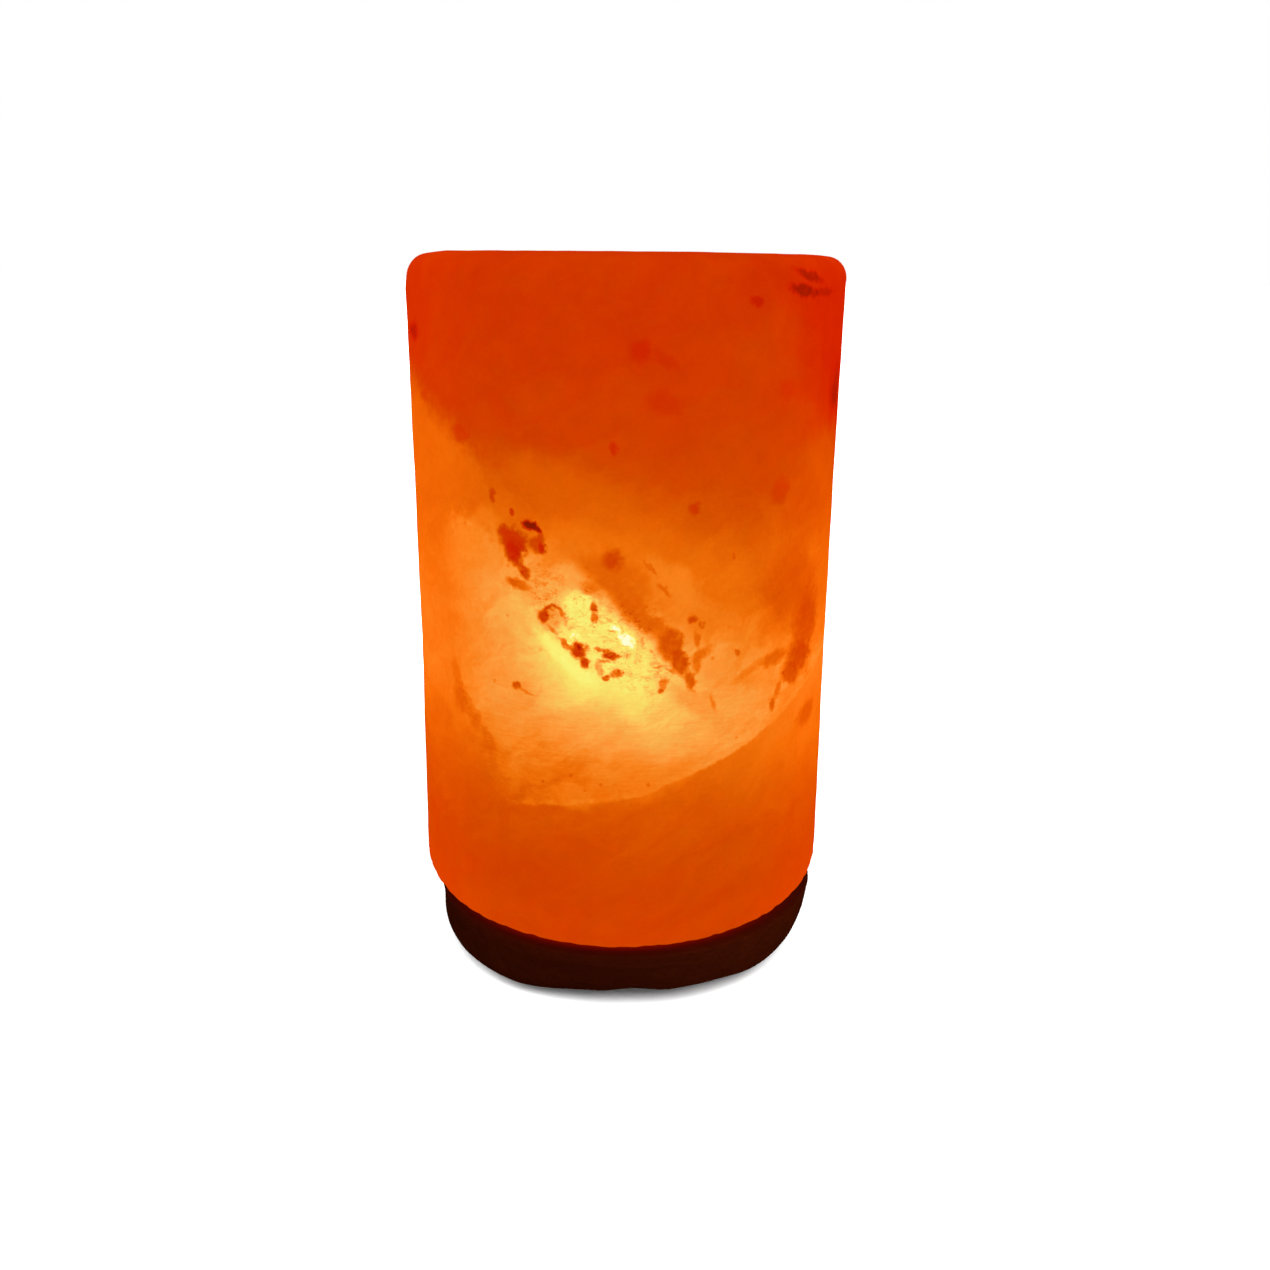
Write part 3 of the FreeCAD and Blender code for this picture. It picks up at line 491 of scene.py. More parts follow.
def linear(colour: Sequence[float]) -> Colour:
    """Linear light of a screen colour whose parts run from 0 to 255."""
    parts = [part / 255.0 for part in colour]
    return tuple(p / 12.92 if p <= 0.04045 else ((p + 0.055) / 1.055) ** 2.4 for p in parts)


def new_group(
    name: str, takes: Dict[str, str], gives: Dict[str, str]
) -> Tuple[Graph, Dict[str, Socket], Node]:
    """Starts a node group.

    Args:
        name: name of the group.
        takes: its inputs, each with Float, Vector or Color.
        gives: its outputs, likewise.

    Returns:
        The graph inside it, the sockets of its inputs, and its output node.
    """
    tree = bpy.data.node_groups.new(name, "ShaderNodeTree")
    for label, kind in takes.items():
        tree.interface.new_socket(name=label, in_out="INPUT", socket_type="NodeSocket" + kind)
    for label, kind in gives.items():
        tree.interface.new_socket(name=label, in_out="OUTPUT", socket_type="NodeSocket" + kind)
    entry = tree.nodes.new("NodeGroupInput")
    leave = tree.nodes.new("NodeGroupOutput")
    return Graph(tree), {label: entry.outputs[label] for label in takes}, leave


class SharedGroups:
    """The effects that more than one place or material uses, each built once."""

    def __init__(self) -> None:
        """Builds every group."""
        self.mark = self._mark()
        self.bed = self._bed()
        self.handled = self._handled()

    @staticmethod
    def _mark() -> Tree:
        """A ragged ellipsoid that pulls the glow towards a target.

        Inside, the length of (place - centre), turned and divided by the size, is under 1.
        """
        takes = {
            "Level": "Float", "Place": "Vector", "Ragged": "Float", "Centre": "Vector", "Turn": "Vector",
            "Size": "Vector", "Edge": "Float", "Target": "Float", "Strength": "Float", "Blotch": "Float",
        }
        graph, given, leave = new_group("mark_in_salt", takes, {"Level": "Float"})
        offset = graph.vector("SUBTRACT", given["Place"], given["Centre"])
        feeds = {"Vector": offset, "Rotation": given["Turn"]}
        local = graph.node("VectorRotate", feeds, rotation_type="EULER_XYZ", invert=True).outputs[0]
        reach = graph.math("ADD", graph.length(graph.vector("DIVIDE", local, given["Size"])), given["Ragged"])
        low = graph.math("SUBTRACT", 1.0, given["Edge"])
        high = graph.math("ADD", 1.0, given["Edge"])
        strength = graph.math("MULTIPLY", given["Strength"], given["Blotch"])
        share = graph.ramped(reach, low, high, strength, 0.0)
        graph.feed(leave.inputs["Level"], graph.blend(share, given["Level"], given["Target"]))
        return graph.tree

    @staticmethod
    def _bed() -> Tree:
        """A flat bed through the crystal: distance = normal . place - offset + wiggle."""
        takes = {
            "Place": "Vector", "Normal": "Vector", "Offset": "Float", "Wiggle": "Float", "Width": "Float",
        }
        graph, given, leave = new_group("bed_in_salt", takes, {"Side": "Float", "Distance": "Float"})
        along = graph.math("SUBTRACT", graph.dot(given["Place"], given["Normal"]), given["Offset"])
        away = graph.math("ADD", along, given["Wiggle"])
        below = graph.math("MULTIPLY", given["Width"], -1.0)
        graph.feed(leave.inputs["Side"], graph.ramped(away, below, given["Width"]))
        graph.feed(leave.inputs["Distance"], away)
        return graph.tree

    @staticmethod
    def _handled() -> Tree:
        """The look of something handled: broad smudges from bent noise, and a fine tooth for the bump."""
        takes = {"Place": "Vector", "Smudges": "Float", "Tooth": "Float"}
        gives = {"Smudge": "Float", "Tooth": "Float", "Scratch": "Float"}
        graph, given, leave = new_group("handled_surface", takes, gives)
        smudge = graph.noise(given["Place"], given["Smudges"], 4.0, 0.6, 0.8).outputs[0]
        tooth = graph.noise(given["Place"], given["Tooth"], 2.0, 0.6).outputs[0]
        combed = graph.vector("MULTIPLY", given["Place"], (6.0, 6.0, 0.35))
        scratch = graph.noise(combed, 0.8, 2.0, 0.7).outputs[0]
        graph.feed(leave.inputs["Smudge"], graph.ramped(smudge, 0.3, 0.7))
        graph.feed(leave.inputs["Tooth"], tooth)
        graph.feed(leave.inputs["Scratch"], graph.ramped(scratch, 0.35, 0.75))
        return graph.tree


GROUPS = SharedGroups()


# ------------------------------------------------------------------------------- finishes


@dataclass(frozen=True)
class Finish:
    """A procedural finish, made into a material once.

    Attributes:
        name: name of the material.
        colour: its linear base colour.
    """

    name: str
    colour: Colour

    def start(self) -> Tuple[bpy.types.Material, Graph, Node]:
        """A new material, its graph and its shader, with the plain base colour set."""
        material = bpy.data.materials.new(self.name)
        material.use_nodes = True
        graph = Graph(material.node_tree)
        shader = node_of(material.node_tree, "BSDF_PRINCIPLED")
        shader.inputs["Base Color"].default_value = (*self.colour, 1.0)
        material.diffuse_color = (*self.colour, 1.0)
        return material, graph, shader

    def fill(self, graph: Graph, shader: Node) -> None:
        """Adds what the finish needs between its pattern and its shader."""
        raise NotImplementedError

    def material(self) -> bpy.types.Material:
        """The finish as a material, made at the first call."""
        known = bpy.data.materials.get(self.name)
        if known is not None:
            return known
        made, graph, shader = self.start()
        self.fill(graph, shader)
        return made

    def dress(self, target: Object) -> None:
        """Puts the material in every slot of an object."""
        if not target.material_slots:
            target.data.materials.append(None)
        for slot in target.material_slots:
            slot.material = self.material()


@dataclass(frozen=True)
class Moulded(Finish):
    """Plastic, rubber, nylon or ceramic: smudged roughness, a slight cast in the colour, a fine tooth.

    Attributes:
        cast: colour that the smudges lean to.
        gloss: lowest and highest roughness.
        tooth_depth: depth of the bump, in millimetres.
        tooth_scale: scale of the bump, per millimetre.
        coat: weight of a clear glaze.
        specular: strength of the plain reflection.
    """

    cast: Colour = (0.05, 0.05, 0.05)
    gloss: Tuple[float, float] = (0.4, 0.6)
    tooth_depth: float = 0.02
    tooth_scale: float = 2.0
    coat: float = 0.0
    specular: float = 0.5

    def fill(self, graph: Graph, shader: Node) -> None:
        """Colour and roughness follow the smudges, the bump follows the tooth."""
        own = graph.group(GROUPS.handled, Place=graph.place(), Smudges=0.18, Tooth=self.tooth_scale)
        smudge = own.outputs["Smudge"]
        graph.feed(shader.inputs["Base Color"], graph.tint(smudge, self.colour, self.cast))
        graph.feed(shader.inputs["Roughness"], graph.straight(smudge, 0.0, 1.0, *self.gloss))
        shader.inputs["Specular IOR Level"].default_value = self.specular
        shader.inputs["Coat Weight"].default_value = self.coat
        shader.inputs["Coat Roughness"].default_value = 0.12
        graph.bump(shader, own.outputs["Tooth"], self.tooth_depth, 0.6)


@dataclass(frozen=True)
class Metal(Finish):
    """Metal with drawing marks, smudges and a little tarnish.

    Attributes:
        tarnish: colour of the dulled places.
        gloss: lowest and highest roughness.
        marks: depth of the drawing marks, in millimetres.
    """

    tarnish: Colour = (0.3, 0.3, 0.3)
    gloss: Tuple[float, float] = (0.2, 0.4)
    marks: float = 0.01

    def fill(self, graph: Graph, shader: Node) -> None:
        """Colour leans to the tarnish in the smudges; roughness and bump follow the drawing marks."""
        own = graph.group(GROUPS.handled, Place=graph.place(), Smudges=0.25, Tooth=3.0)
        smudge, scratch = own.outputs["Smudge"], own.outputs["Scratch"]
        dull = graph.math("MULTIPLY", smudge, 0.55)
        graph.feed(shader.inputs["Base Color"], graph.tint(dull, self.colour, self.tarnish))
        shader.inputs["Metallic"].default_value = 1.0
        rough = graph.math("MULTIPLY_ADD", scratch, 0.4, graph.math("MULTIPLY", smudge, 0.6))
        graph.feed(shader.inputs["Roughness"], graph.straight(rough, 0.0, 1.0, *self.gloss))
        graph.bump(shader, scratch, self.marks, 0.5)


@dataclass(frozen=True)
class Glass(Finish):
    """Clear blown glass: slight waves, and a trace of haze in its roughness.

    Attributes:
        haze: highest roughness.
        index: refractive index.
        wave_depth: depth of the waves, in millimetres.
    """

    haze: float = 0.03
    index: float = 1.46
    wave_depth: float = 0.05

    def fill(self, graph: Graph, shader: Node) -> None:
        """Roughness follows faint smudges and the bump follows slow waves."""
        place = graph.place()
        own = graph.group(GROUPS.handled, Place=place, Smudges=0.2, Tooth=1.0)
        shader.inputs["Transmission Weight"].default_value = 1.0
        shader.inputs["IOR"].default_value = self.index
        smudge = own.outputs["Smudge"]
        graph.feed(shader.inputs["Roughness"], graph.straight(smudge, 0.0, 1.0, 0.0, self.haze))
        graph.bump(shader, graph.noise(place, 0.12, 1.0).outputs[0], self.wave_depth, 0.4)


@dataclass(frozen=True)
class Lit(Finish):
    """A finish that gives off light of its own."""

    def material(self) -> bpy.types.Material:
        """The finish as a material that isn't sampled as a lamp."""
        made = super().material()
        made.cycles.emission_sampling = "NONE"
        return made


@dataclass(frozen=True)
class Glowing(Lit):
    """Hot wire: bright in the middle of its run and cooler next to its ends.

    Attributes:
        hot: colour of the hottest place.
        cool: colour of the coolest.
        strength: strength of the glow.
        run: places in Y, in millimetres, of the hottest part and the coolest.
    """

    hot: Colour = (1.0, 0.62, 0.22)
    cool: Colour = (0.35, 0.06, 0.01)
    strength: float = 14.0
    run: Tuple[float, float] = (-4.0, 0.5)

    def fill(self, graph: Graph, shader: Node) -> None:
        """The glow fades to the ends, which are the wire's furthest places towards +Y."""
        heat = graph.ramped(graph.part(graph.place(), "Y"), *self.run, 1.0, 0.15)
        grain = graph.noise(graph.place(), 4.0, 2.0).outputs[0]
        warm = graph.math("MULTIPLY", heat, graph.straight(grain, 0.3, 0.7, 0.85, 1.0))
        graph.feed(shader.inputs["Emission Color"], graph.tint(warm, self.cool, self.hot))
        shader.inputs["Emission Strength"].default_value = self.strength
        shader.inputs["Roughness"].default_value = 0.5


@dataclass(frozen=True)
class StainedWood(Finish):
    """Close-grained wood, turned and stained nearly black brown.

    Attributes:
        light: linear colour of the open grain.
        grain_run: how much the grain is drawn out along X.
        right_light_gain: how much lighter the wood is painted towards +X, as painted light falling from the
            right.
        right_light_run: places in X between which the painted light rises.
        glow: light that the salt throws on the wood at the seam.
        seam: radius where the salt leaves the wood, and the height there.
        fade: how far the glow reaches.
        bump_depth: depth of the grain and the lathe's rings.
    """

    light: Colour = (0.0118, 0.0015, 0.0002)
    grain_run: float = 0.07
    right_light_gain: float = 1.6
    right_light_run: Tuple[float, float] = (-10.0, 46.0)
    glow: Colour = (0.15, 0.002, 0.0)
    seam: Tuple[float, float] = (44.0, 16.1)
    fade: float = 1.5
    bump_depth: float = 0.08

    def lit_seam(self, graph: Graph, place: Feed) -> Feed:
        """The glow next to the salt: glow * e^(-way / fade), with the way out over the ledge and down."""
        out = graph.math("SUBTRACT", graph.off_axis(place), self.seam[0])
        down = graph.math("SUBTRACT", self.seam[1], graph.part(place, "Z"))
        way = graph.math("ADD", graph.math("MAXIMUM", out, 0.0), graph.math("MAXIMUM", down, 0.0))
        return graph.scaled(self.glow, graph.math("EXPONENT", graph.math("DIVIDE", way, -self.fade)))

    def fill(self, graph: Graph, shader: Node) -> None:
        """Growth rings and fibres are noise drawn out along X; the lathe leaves fine rings in Z."""
        place = graph.place()
        drawn = graph.vector("MULTIPLY", place, (self.grain_run, 1.0, 1.0))
        rings = graph.noise(drawn, 0.32, 4.0, 0.6, 1.2).outputs[0]
        fibre = graph.noise(drawn, 2.6, 3.0, 0.65).outputs[0]
        pores = graph.noise(graph.vector("MULTIPLY", place, (0.25, 1.6, 1.6)), 1.4, 2.0, 0.7).outputs[0]
        open_grain = graph.ramped(pores, 0.6, 0.7)
        tone = graph.math("ADD", graph.math("MULTIPLY", rings, 0.65), graph.math("MULTIPLY", fibre, 0.35))
        shade = graph.ramped(tone, 0.36, 0.64)
        body = graph.tint(shade, self.colour, self.light)
        dark = tuple(part * 0.5 for part in self.colour)
        stained = graph.tint(graph.math("MULTIPLY", open_grain, 0.6), body, dark)
        # painted light: the wood's colour is raised towards +X, standing in for light falling from the right
        painted_right_light = graph.ramped(graph.part(place, "X"), *self.right_light_run, 1.0, self.right_light_gain)
        graph.feed(shader.inputs["Base Color"], graph.scaled(stained, painted_right_light))
        graph.feed(shader.inputs["Emission Color"], self.lit_seam(graph, place))
        shader.inputs["Emission Strength"].default_value = 1.0
        graph.feed(shader.inputs["Roughness"], graph.straight(fibre, 0.3, 0.7, 0.42, 0.62))
        shader.inputs["Specular IOR Level"].default_value = 0.0
        lathe = graph.noise(graph.vector("MULTIPLY", place, (0.02, 0.02, 1.0)), 2.2, 2.0, 0.6).outputs[0]
        grain = graph.math("MULTIPLY_ADD", lathe, 0.6, graph.math("MULTIPLY", fibre, 0.5))
        graph.bump(shader, graph.math("SUBTRACT", grain, open_grain), self.bump_depth, 0.7)


@dataclass(frozen=True)
class Mark:
    """A darker or brighter place in the salt.

    Attributes:
        angle: degrees round the salt, from the front towards +X.
        height: millimetres above the table.
        wide: half its width along the surface.
        tall: half its height.
        level: the glow that it pulls to, from 0 to 1.
        share: how far it pulls.
        tilt: degrees by which its width leans down towards +X.
        soft: softness of its outline.
        edge: how ragged its outline is.
    """

    angle: float
    height: float
    wide: float
    tall: float
    level: float
    share: float = 1.0
    tilt: float = 0.0
    soft: float = 0.3
    edge: Edge = Edge.FINE

    def centre(self, radius: float) -> Point:
        """Its place on the salt."""
        turn = math.radians(self.angle)
        return (radius * math.sin(turn), -radius * math.cos(turn), self.height)


# Broad glow and shade first, then the veins and spots that show in the clear crystal.
MARKS: Tuple[Mark, ...] = (
    # shade at the top corners and down the right edge
    Mark(69.4, 152.3, 15.6, 18.6, 0.11, 0.75, 0, 0.6, Edge.COARSE),
    Mark(71.1, 139.1, 5.4, 6.9, 0.06, 0.75, 0, 0.6, Edge.COARSE),
    Mark(62.5, 126.2, 10.8, 9.1, 0.35, 0.6, 0, 0.6, Edge.COARSE),
    Mark(69.2, 95.4, 8.4, 11.3, 0.37, 0.55, 0, 0.6, Edge.COARSE),
    Mark(51.5, 164.4, 15.9, 5.2, 0.13, 0.5, 0, 0.6, Edge.COARSE),
    Mark(-66.6, 157.9, 12, 8.5, 0.12, 0.35, -15, 0.6, Edge.COARSE),
    # the orange haze over the crystal, and the redder mass low on the right
    Mark(16.6, 109.5, 16.5, 5.6, 0.46, 0.45, 22, 0.7, Edge.COARSE),
    Mark(-11.1, 122.1, 17.8, 7, 0.41, 0.55, 15, 0.7, Edge.COARSE),
    Mark(13.8, 103.6, 11.3, 3.7, 0.53, 0.7, 42, 0.7, Edge.COARSE),
    Mark(-11.8, 112.6, 7.7, 4.2, 0.5, 0.5, 10, 0.6, Edge.COARSE),
    Mark(-25.4, 33.7, 12.6, 6.1, 0.235, 0.5, 0, 0.7, Edge.COARSE),
    Mark(-48.3, 91.6, 8.8, 14.1, 0.45, 0.5, 0, 0.6, Edge.COARSE),
    Mark(46.6, 99.2, 11, 8.8, 0.27, 0.65, 10, 0.6, Edge.COARSE),
    Mark(57.3, 90.2, 5.3, 7.3, 0.235, 0.7, 15, 0.5),
    Mark(54.3, 83, 5.2, 3.4, 0.22, 0.75, 20, 0.45),
    Mark(50.1, 79.9, 3.7, 2.4, 0.24, 0.75, 20, 0.4),
    Mark(42.5, 84.7, 4, 1.4, 0.31, 0.7, -12, 0.45),
    Mark(33.9, 83.2, 4.8, 0.9, 0.4, 0.55, -28, 0.5),
    # pale yellow round the bulb, and the white spot in front of it
    Mark(-6.5, 85.3, 11.6, 5.4, 0.86, 0.7, 30, 0.55),
    Mark(-5, 94.6, 10.1, 4.8, 0.86, 0.6, 40, 0.5),
    Mark(-2.5, 78.2, 10.7, 2.3, 0.84, 0.4, 4, 0.6),
    Mark(-13, 87.1, 9.3, 1.6, 0.94, 0.85, 43, 0.5),
    Mark(-13.4, 104.4, 4.8, 3.4, 0.66, 0.6, 0, 0.6),
    Mark(-10.4, 99.6, 3.4, 3.3, 0.92, 0.9, 20, 0.5),
    Mark(-11.2, 93, 1.3, 0.9, 0.98, 0.9, 0, 0.5),
    Mark(-0.9, 94.3, 3.4, 1.8, 0.95, 0.9, 20, 0.5),
    Mark(6, 86.3, 3.4, 4, 0.86, 0.45, 0, 0.6),
    Mark(20, 76.9, 6.6, 2.1, 0.56, 0.75, 36, 0.6),
    Mark(31.2, 75.9, 7, 3.3, 0.66, 0.5, 0, 0.6),
    Mark(12.2, 61.3, 12.6, 3.1, 0.46, 0.65, -24, 0.6, Edge.COARSE),
    Mark(-12.1, 56, 5.4, 1.7, 0.46, 0.6, 0, 0.6, Edge.COARSE),
    Mark(-7.5, 72.5, 8.3, 6, 0.6, 0.5, 0, 0.7, Edge.COARSE),
    Mark(18.9, 68.7, 4.7, 3.3, 0.66, 0.55, 0, 0.6),
    Mark(-31.3, 72.5, 6.1, 7.1, 0.6, 0.5, 0, 0.7, Edge.COARSE),
    Mark(-30.5, 78.7, 6.5, 2.3, 0.62, 0.5, 0, 0.6),
    Mark(-43.1, 108.4, 6.8, 4.9, 0.46, 0.6, 0, 0.6, Edge.COARSE),
    Mark(24.9, 85.5, 4.2, 3.6, 0.56, 0.8, 0, 0.6),
    Mark(-34.7, 115.6, 4.5, 2.6, 0.5, 0.6, 0, 0.6, Edge.COARSE),
    Mark(22.8, 96, 5.2, 3.5, 0.46, 0.5, 0, 0.6),
    Mark(-11.9, 106.9, 3.2, 2.1, 0.64, 0.7, 0, 0.6),
    Mark(-21.9, 102.7, 3.1, 3.3, 0.58, 0.7, 0, 0.6),
    Mark(0.8, 93, 3.1, 1.1, 1, 1, 42, 0.35),
    Mark(2, 91.7, 1.5, 1.3, 1, 1, 0, 0.45),
    # the brown band that falls to the right above the heart
    Mark(-4.1, 107.2, 5.8, 2.6, 0.37, 0.85, 22, 0.5),
    Mark(-2.2, 109.6, 1.9, 2.1, 0.22, 0.85, 0, 0.6),
    Mark(-8, 103.7, 2.1, 1.3, 0.4, 0.7, 0, 0.5),
    Mark(-2.2, 104.7, 3.1, 1.9, 0.37, 0.8, 30, 0.5),
    Mark(1.2, 102.2, 3.9, 2.8, 0.37, 0.92, 40, 0.5),
    Mark(3.9, 98.5, 5, 2.6, 0.36, 0.9, 42, 0.45),
    Mark(9.5, 94.6, 4.7, 2.2, 0.36, 0.9, 30, 0.45),
    Mark(12.1, 91.2, 2.8, 3.1, 0.29, 0.92, 0, 0.45),
    Mark(14.7, 87.3, 2, 3.1, 0.25, 0.92, -25, 0.4),
    Mark(17.4, 83.1, 1.1, 2.5, 0.3, 0.9, -12, 0.45),
    Mark(19.1, 86.5, 1.1, 2, 0.36, 0.75, 0, 0.5),
    Mark(20.1, 88.7, 2.5, 1.1, 0.35, 0.75, -30, 0.5),
    Mark(19, 91.9, 0.7, 1.8, 0.33, 0.7, -10, 0.5),
    Mark(17.8, 96.6, 1.1, 0.9, 0.23, 0.85, 0, 0.45),
    Mark(19.9, 95.2, 0.7, 0.7, 0.28, 0.8, 0, 0.45),
    Mark(6.9, 108.1, 2.1, 0.4, 0.34, 0.7, 45, 0.5),
    Mark(10.3, 103.3, 1.9, 0.5, 0.33, 0.7, 45, 0.5),
    Mark(30.3, 87.8, 0.7, 1, 0.3, 0.8, -30, 0.45),
    Mark(10.5, 82.6, 0.9, 1.4, 0.42, 0.85, 15, 0.45),
    Mark(9.8, 80.8, 0.6, 0.5, 0.3, 0.85, 0, 0.45),
    Mark(23.8, 77.2, 0.6, 2.1, 0.42, 0.75, -20, 0.5),
    Mark(44.7, 76.8, 0.9, 2.2, 0.37, 0.8, 22, 0.5),
    Mark(42.9, 74, 1, 1.5, 0.29, 0.8, 10, 0.45),
    Mark(60.5, 67.5, 4.2, 2.6, 0.27, 0.6, -10, 0.5),
    # rings and shreds of red in the heart
    Mark(-17, 96.8, 2.9, 2.6, 0.52, 0.7, 0, 0.5),
    Mark(-19.1, 96.8, 1.3, 1.5, 0.22, 0.95, 15, 0.4),
    Mark(-17.8, 98.9, 1.4, 0.6, 0.3, 0.9, -25, 0.45),
    Mark(-15.7, 99.1, 1.3, 0.5, 0.32, 0.9, 35, 0.45),
    Mark(-14.2, 97.7, 0.6, 1.1, 0.35, 0.85, -30, 0.45),
    Mark(-17, 94.1, 1.4, 0.4, 0.42, 0.75, 35, 0.5),
    Mark(-13.5, 91.3, 1.8, 0.4, 0.38, 0.8, 42, 0.5),
    Mark(-10.2, 89.8, 1.8, 1.8, 0.19, 0.97, 15, 0.4),
    Mark(-8.7, 87.2, 1.1, 1.4, 0.25, 0.93, -10, 0.4),
    Mark(-13.5, 90.9, 0.7, 1.1, 0.4, 0.8, -40, 0.5),
    Mark(-2.3, 89, 1.9, 0.8, 0.27, 0.95, 8, 0.4),
    Mark(-4.5, 90.3, 1.7, 0.4, 0.34, 0.8, 8, 0.5),
    Mark(-3.5, 84.1, 0.9, 0.6, 0.24, 0.92, 0, 0.4),
    Mark(-1.1, 85, 1.3, 0.8, 0.4, 0.85, -10, 0.45),
    Mark(-5.2, 86, 0.7, 1.6, 0.52, 0.75, -15, 0.5),
    Mark(-4, 87.8, 1.5, 0.4, 0.5, 0.7, 10, 0.5),
    Mark(-0.4, 85, 0.6, 0.9, 0.33, 0.8, 0, 0.5),
    Mark(-6.7, 99.4, 0.7, 1, 0.27, 0.9, 0, 0.45),
    Mark(-6.5, 97.2, 0.6, 1.1, 0.36, 0.85, -10, 0.45),
    Mark(-2.1, 94.5, 1, 0.3, 0.6, 0.8, 0, 0.5),
    Mark(5.4, 91.9, 0.3, 1.1, 0.55, 0.8, -10, 0.5),
    Mark(9.2, 86.5, 1.3, 0.3, 0.5, 0.75, 0, 0.5),
    Mark(12.5, 85.4, 1.1, 0.4, 0.48, 0.75, 25, 0.5),
    Mark(-26.9, 80.4, 1.1, 0.8, 0.25, 0.9, 0, 0.45),
    Mark(-24.6, 79.4, 2.2, 0.4, 0.39, 0.7, 20, 0.5),
    # the red blob with its tail, and the brown black spots beside it
    Mark(-29.9, 114.2, 1.5, 1.3, 0.2, 0.9, 0, 0.45),
    Mark(-27.3, 112.3, 3.2, 2.6, 0.18, 0.95, 25, 0.4),
    Mark(-27.1, 109.8, 2, 2.6, 0.12, 0.97, -18, 0.4),
    Mark(-24.3, 106.1, 1.1, 2.2, 0.26, 0.92, -36, 0.4),
    Mark(-26.6, 103.3, 2.2, 1.1, 0.3, 0.88, 10, 0.45),
    Mark(-24.1, 102.9, 1.9, 0.9, 0.4, 0.8, 0, 0.5),
    Mark(-22.5, 116.1, 2, 1.1, 0.02, 0.97, 10, 0.4),
    Mark(-20.4, 115.3, 0.9, 0.6, 0.03, 0.9, 20, 0.45),
    Mark(-21, 112, 1.6, 1.5, 0.2, 0.85, 0, 0.5),
    Mark(-19.4, 111.5, 0.9, 1.1, 0.09, 0.92, -15, 0.45),
    Mark(-19.7, 113.6, 1, 1.1, 0.2, 0.75, -20, 0.5),
    Mark(-27.7, 118.4, 0.6, 0.5, 0.15, 0.85, 0, 0.5),
    Mark(-33.3, 121.5, 0.8, 1.3, 0.19, 0.8, 0, 0.5),
    # ragged reddish edge on the left of the crystal
    Mark(-48.1, 79.4, 1.6, 3.1, 0.36, 0.6, -14, 0.5),
    Mark(-46.2, 73.7, 2.7, 3.2, 0.31, 0.7, -22, 0.5),
    Mark(-41.1, 70.5, 2, 3.1, 0.32, 0.65, -38, 0.5),
    Mark(-36.1, 65.8, 1.5, 2.9, 0.32, 0.6, -25, 0.5),
    Mark(-34.6, 60.9, 1.2, 2.7, 0.33, 0.5, -8, 0.5),
    # faint red spots in the upper part
    Mark(-2.1, 132.7, 0.8, 1.2, 0.13, 0.85, -8, 0.5),
    Mark(4.1, 152.2, 2.2, 2.1, 0.12, 0.85, 0, 0.6),
    Mark(9.4, 150.3, 3.2, 1.2, 0.145, 0.6, 28, 0.6),
    Mark(9.8, 141.7, 3.5, 2.4, 0.15, 0.5, 20, 0.6),
    Mark(17.3, 120.4, 1.1, 1.3, 0.18, 0.75, 0, 0.5),
    Mark(42.7, 122.3, 2.9, 2.6, 0.18, 0.6, -22, 0.5),
    Mark(31.8, 161.5, 1.7, 1, 0.08, 0.8, 15, 0.5),
    Mark(50.4, 166.2, 5, 1, 0.055, 0.8, 14, 0.5),
    Mark(47.7, 163.4, 4.9, 1.2, 0.05, 0.85, 8, 0.5),
    Mark(56.7, 162.9, 3.9, 1, 0.07, 0.7, 0, 0.5),
    Mark(43.3, 143.4, 2.6, 2.1, 0.15, 0.5, 0, 0.6),
    Mark(-43.4, 133.6, 2.3, 1.9, 0.17, 0.65, 0, 0.5),
    Mark(-60.7, 140.3, 1.8, 1.3, 0.2, 0.6, -20, 0.5),
    Mark(-67.5, 153.4, 4.2, 1.9, 0.07, 0.8, 0, 0.6),
    Mark(28.4, 109.3, 0.4, 0.9, 0.26, 0.6, -15, 0.5),
    # the same kinds of mark round the sides and the back
    Mark(168, 80, 34, 20, 0.60, 0.6, -14, 0.35, Edge.COARSE),
    Mark(161, 84, 15, 9, 0.80, 0.6, -20, 0.5, Edge.COARSE),
    Mark(112, 72, 22, 15, 0.50, 0.5, 18, 0.4, Edge.COARSE),
    Mark(-118, 92, 24, 17, 0.52, 0.55, 25, 0.4, Edge.COARSE),
    Mark(150, 118, 12, 5, 0.22, 0.7, -30, 0.45),
    Mark(176, 102, 4.6, 1.6, 0.24, 0.85, -35),
    Mark(171, 98, 5, 1.2, 0.3, 0.8, -28),
    Mark(-178, 104, 1.5, 2.2, 0.2, 0.85, 0),
    Mark(-163, 90, 2.2, 3.4, 0.22, 0.85, 20),
    Mark(-161, 85, 1.3, 2.6, 0.28, 0.8, -10),
    Mark(-167, 84.5, 2.4, 0.7, 0.3, 0.75, 15),
    Mark(141, 88, 1.4, 2.6, 0.24, 0.85, 0),
    Mark(-134, 108, 3.4, 1.7, 0.2, 0.9, 30),
    Mark(-128, 104, 1.6, 1.6, 0.05, 0.9, 0),
    Mark(-129.5, 100.8, 0.8, 2.2, 0.26, 0.8, -10),
    Mark(-104, 85, 1.5, 2.6, 0.24, 0.85, -20),
    Mark(-92, 60, 5, 1.8, 0.26, 0.6, 10, 0.5),
    Mark(102, 112, 4.5, 3, 0.18, 0.75, -25, 0.5),
    Mark(92, 61, 3.4, 1.5, 0.24, 0.7, 15, 0.5),
    Mark(121, 144, 3, 4, 0.13, 0.7, 0, 0.6),
    Mark(-150, 140, 3.6, 2.4, 0.14, 0.7, 0, 0.6),
    Mark(172, 150, 6, 3, 0.15, 0.6, 20, 0.6),
    Mark(-98, 128, 2, 3, 0.18, 0.7, 0, 0.5),
)


@dataclass(frozen=True)
class Bed:
    """A flat bed through the crystal, in millimetres.

    Attributes:
        normal: its normal, towards the clear side.
        offset: its distance from the origin along the normal.
        waver: reach of its slow waver.
        ragged: reach of its fine raggedness.
        width: half the width over which it fades.
    """

    normal: Point
    offset: float
    waver: float
    ragged: float
    width: float


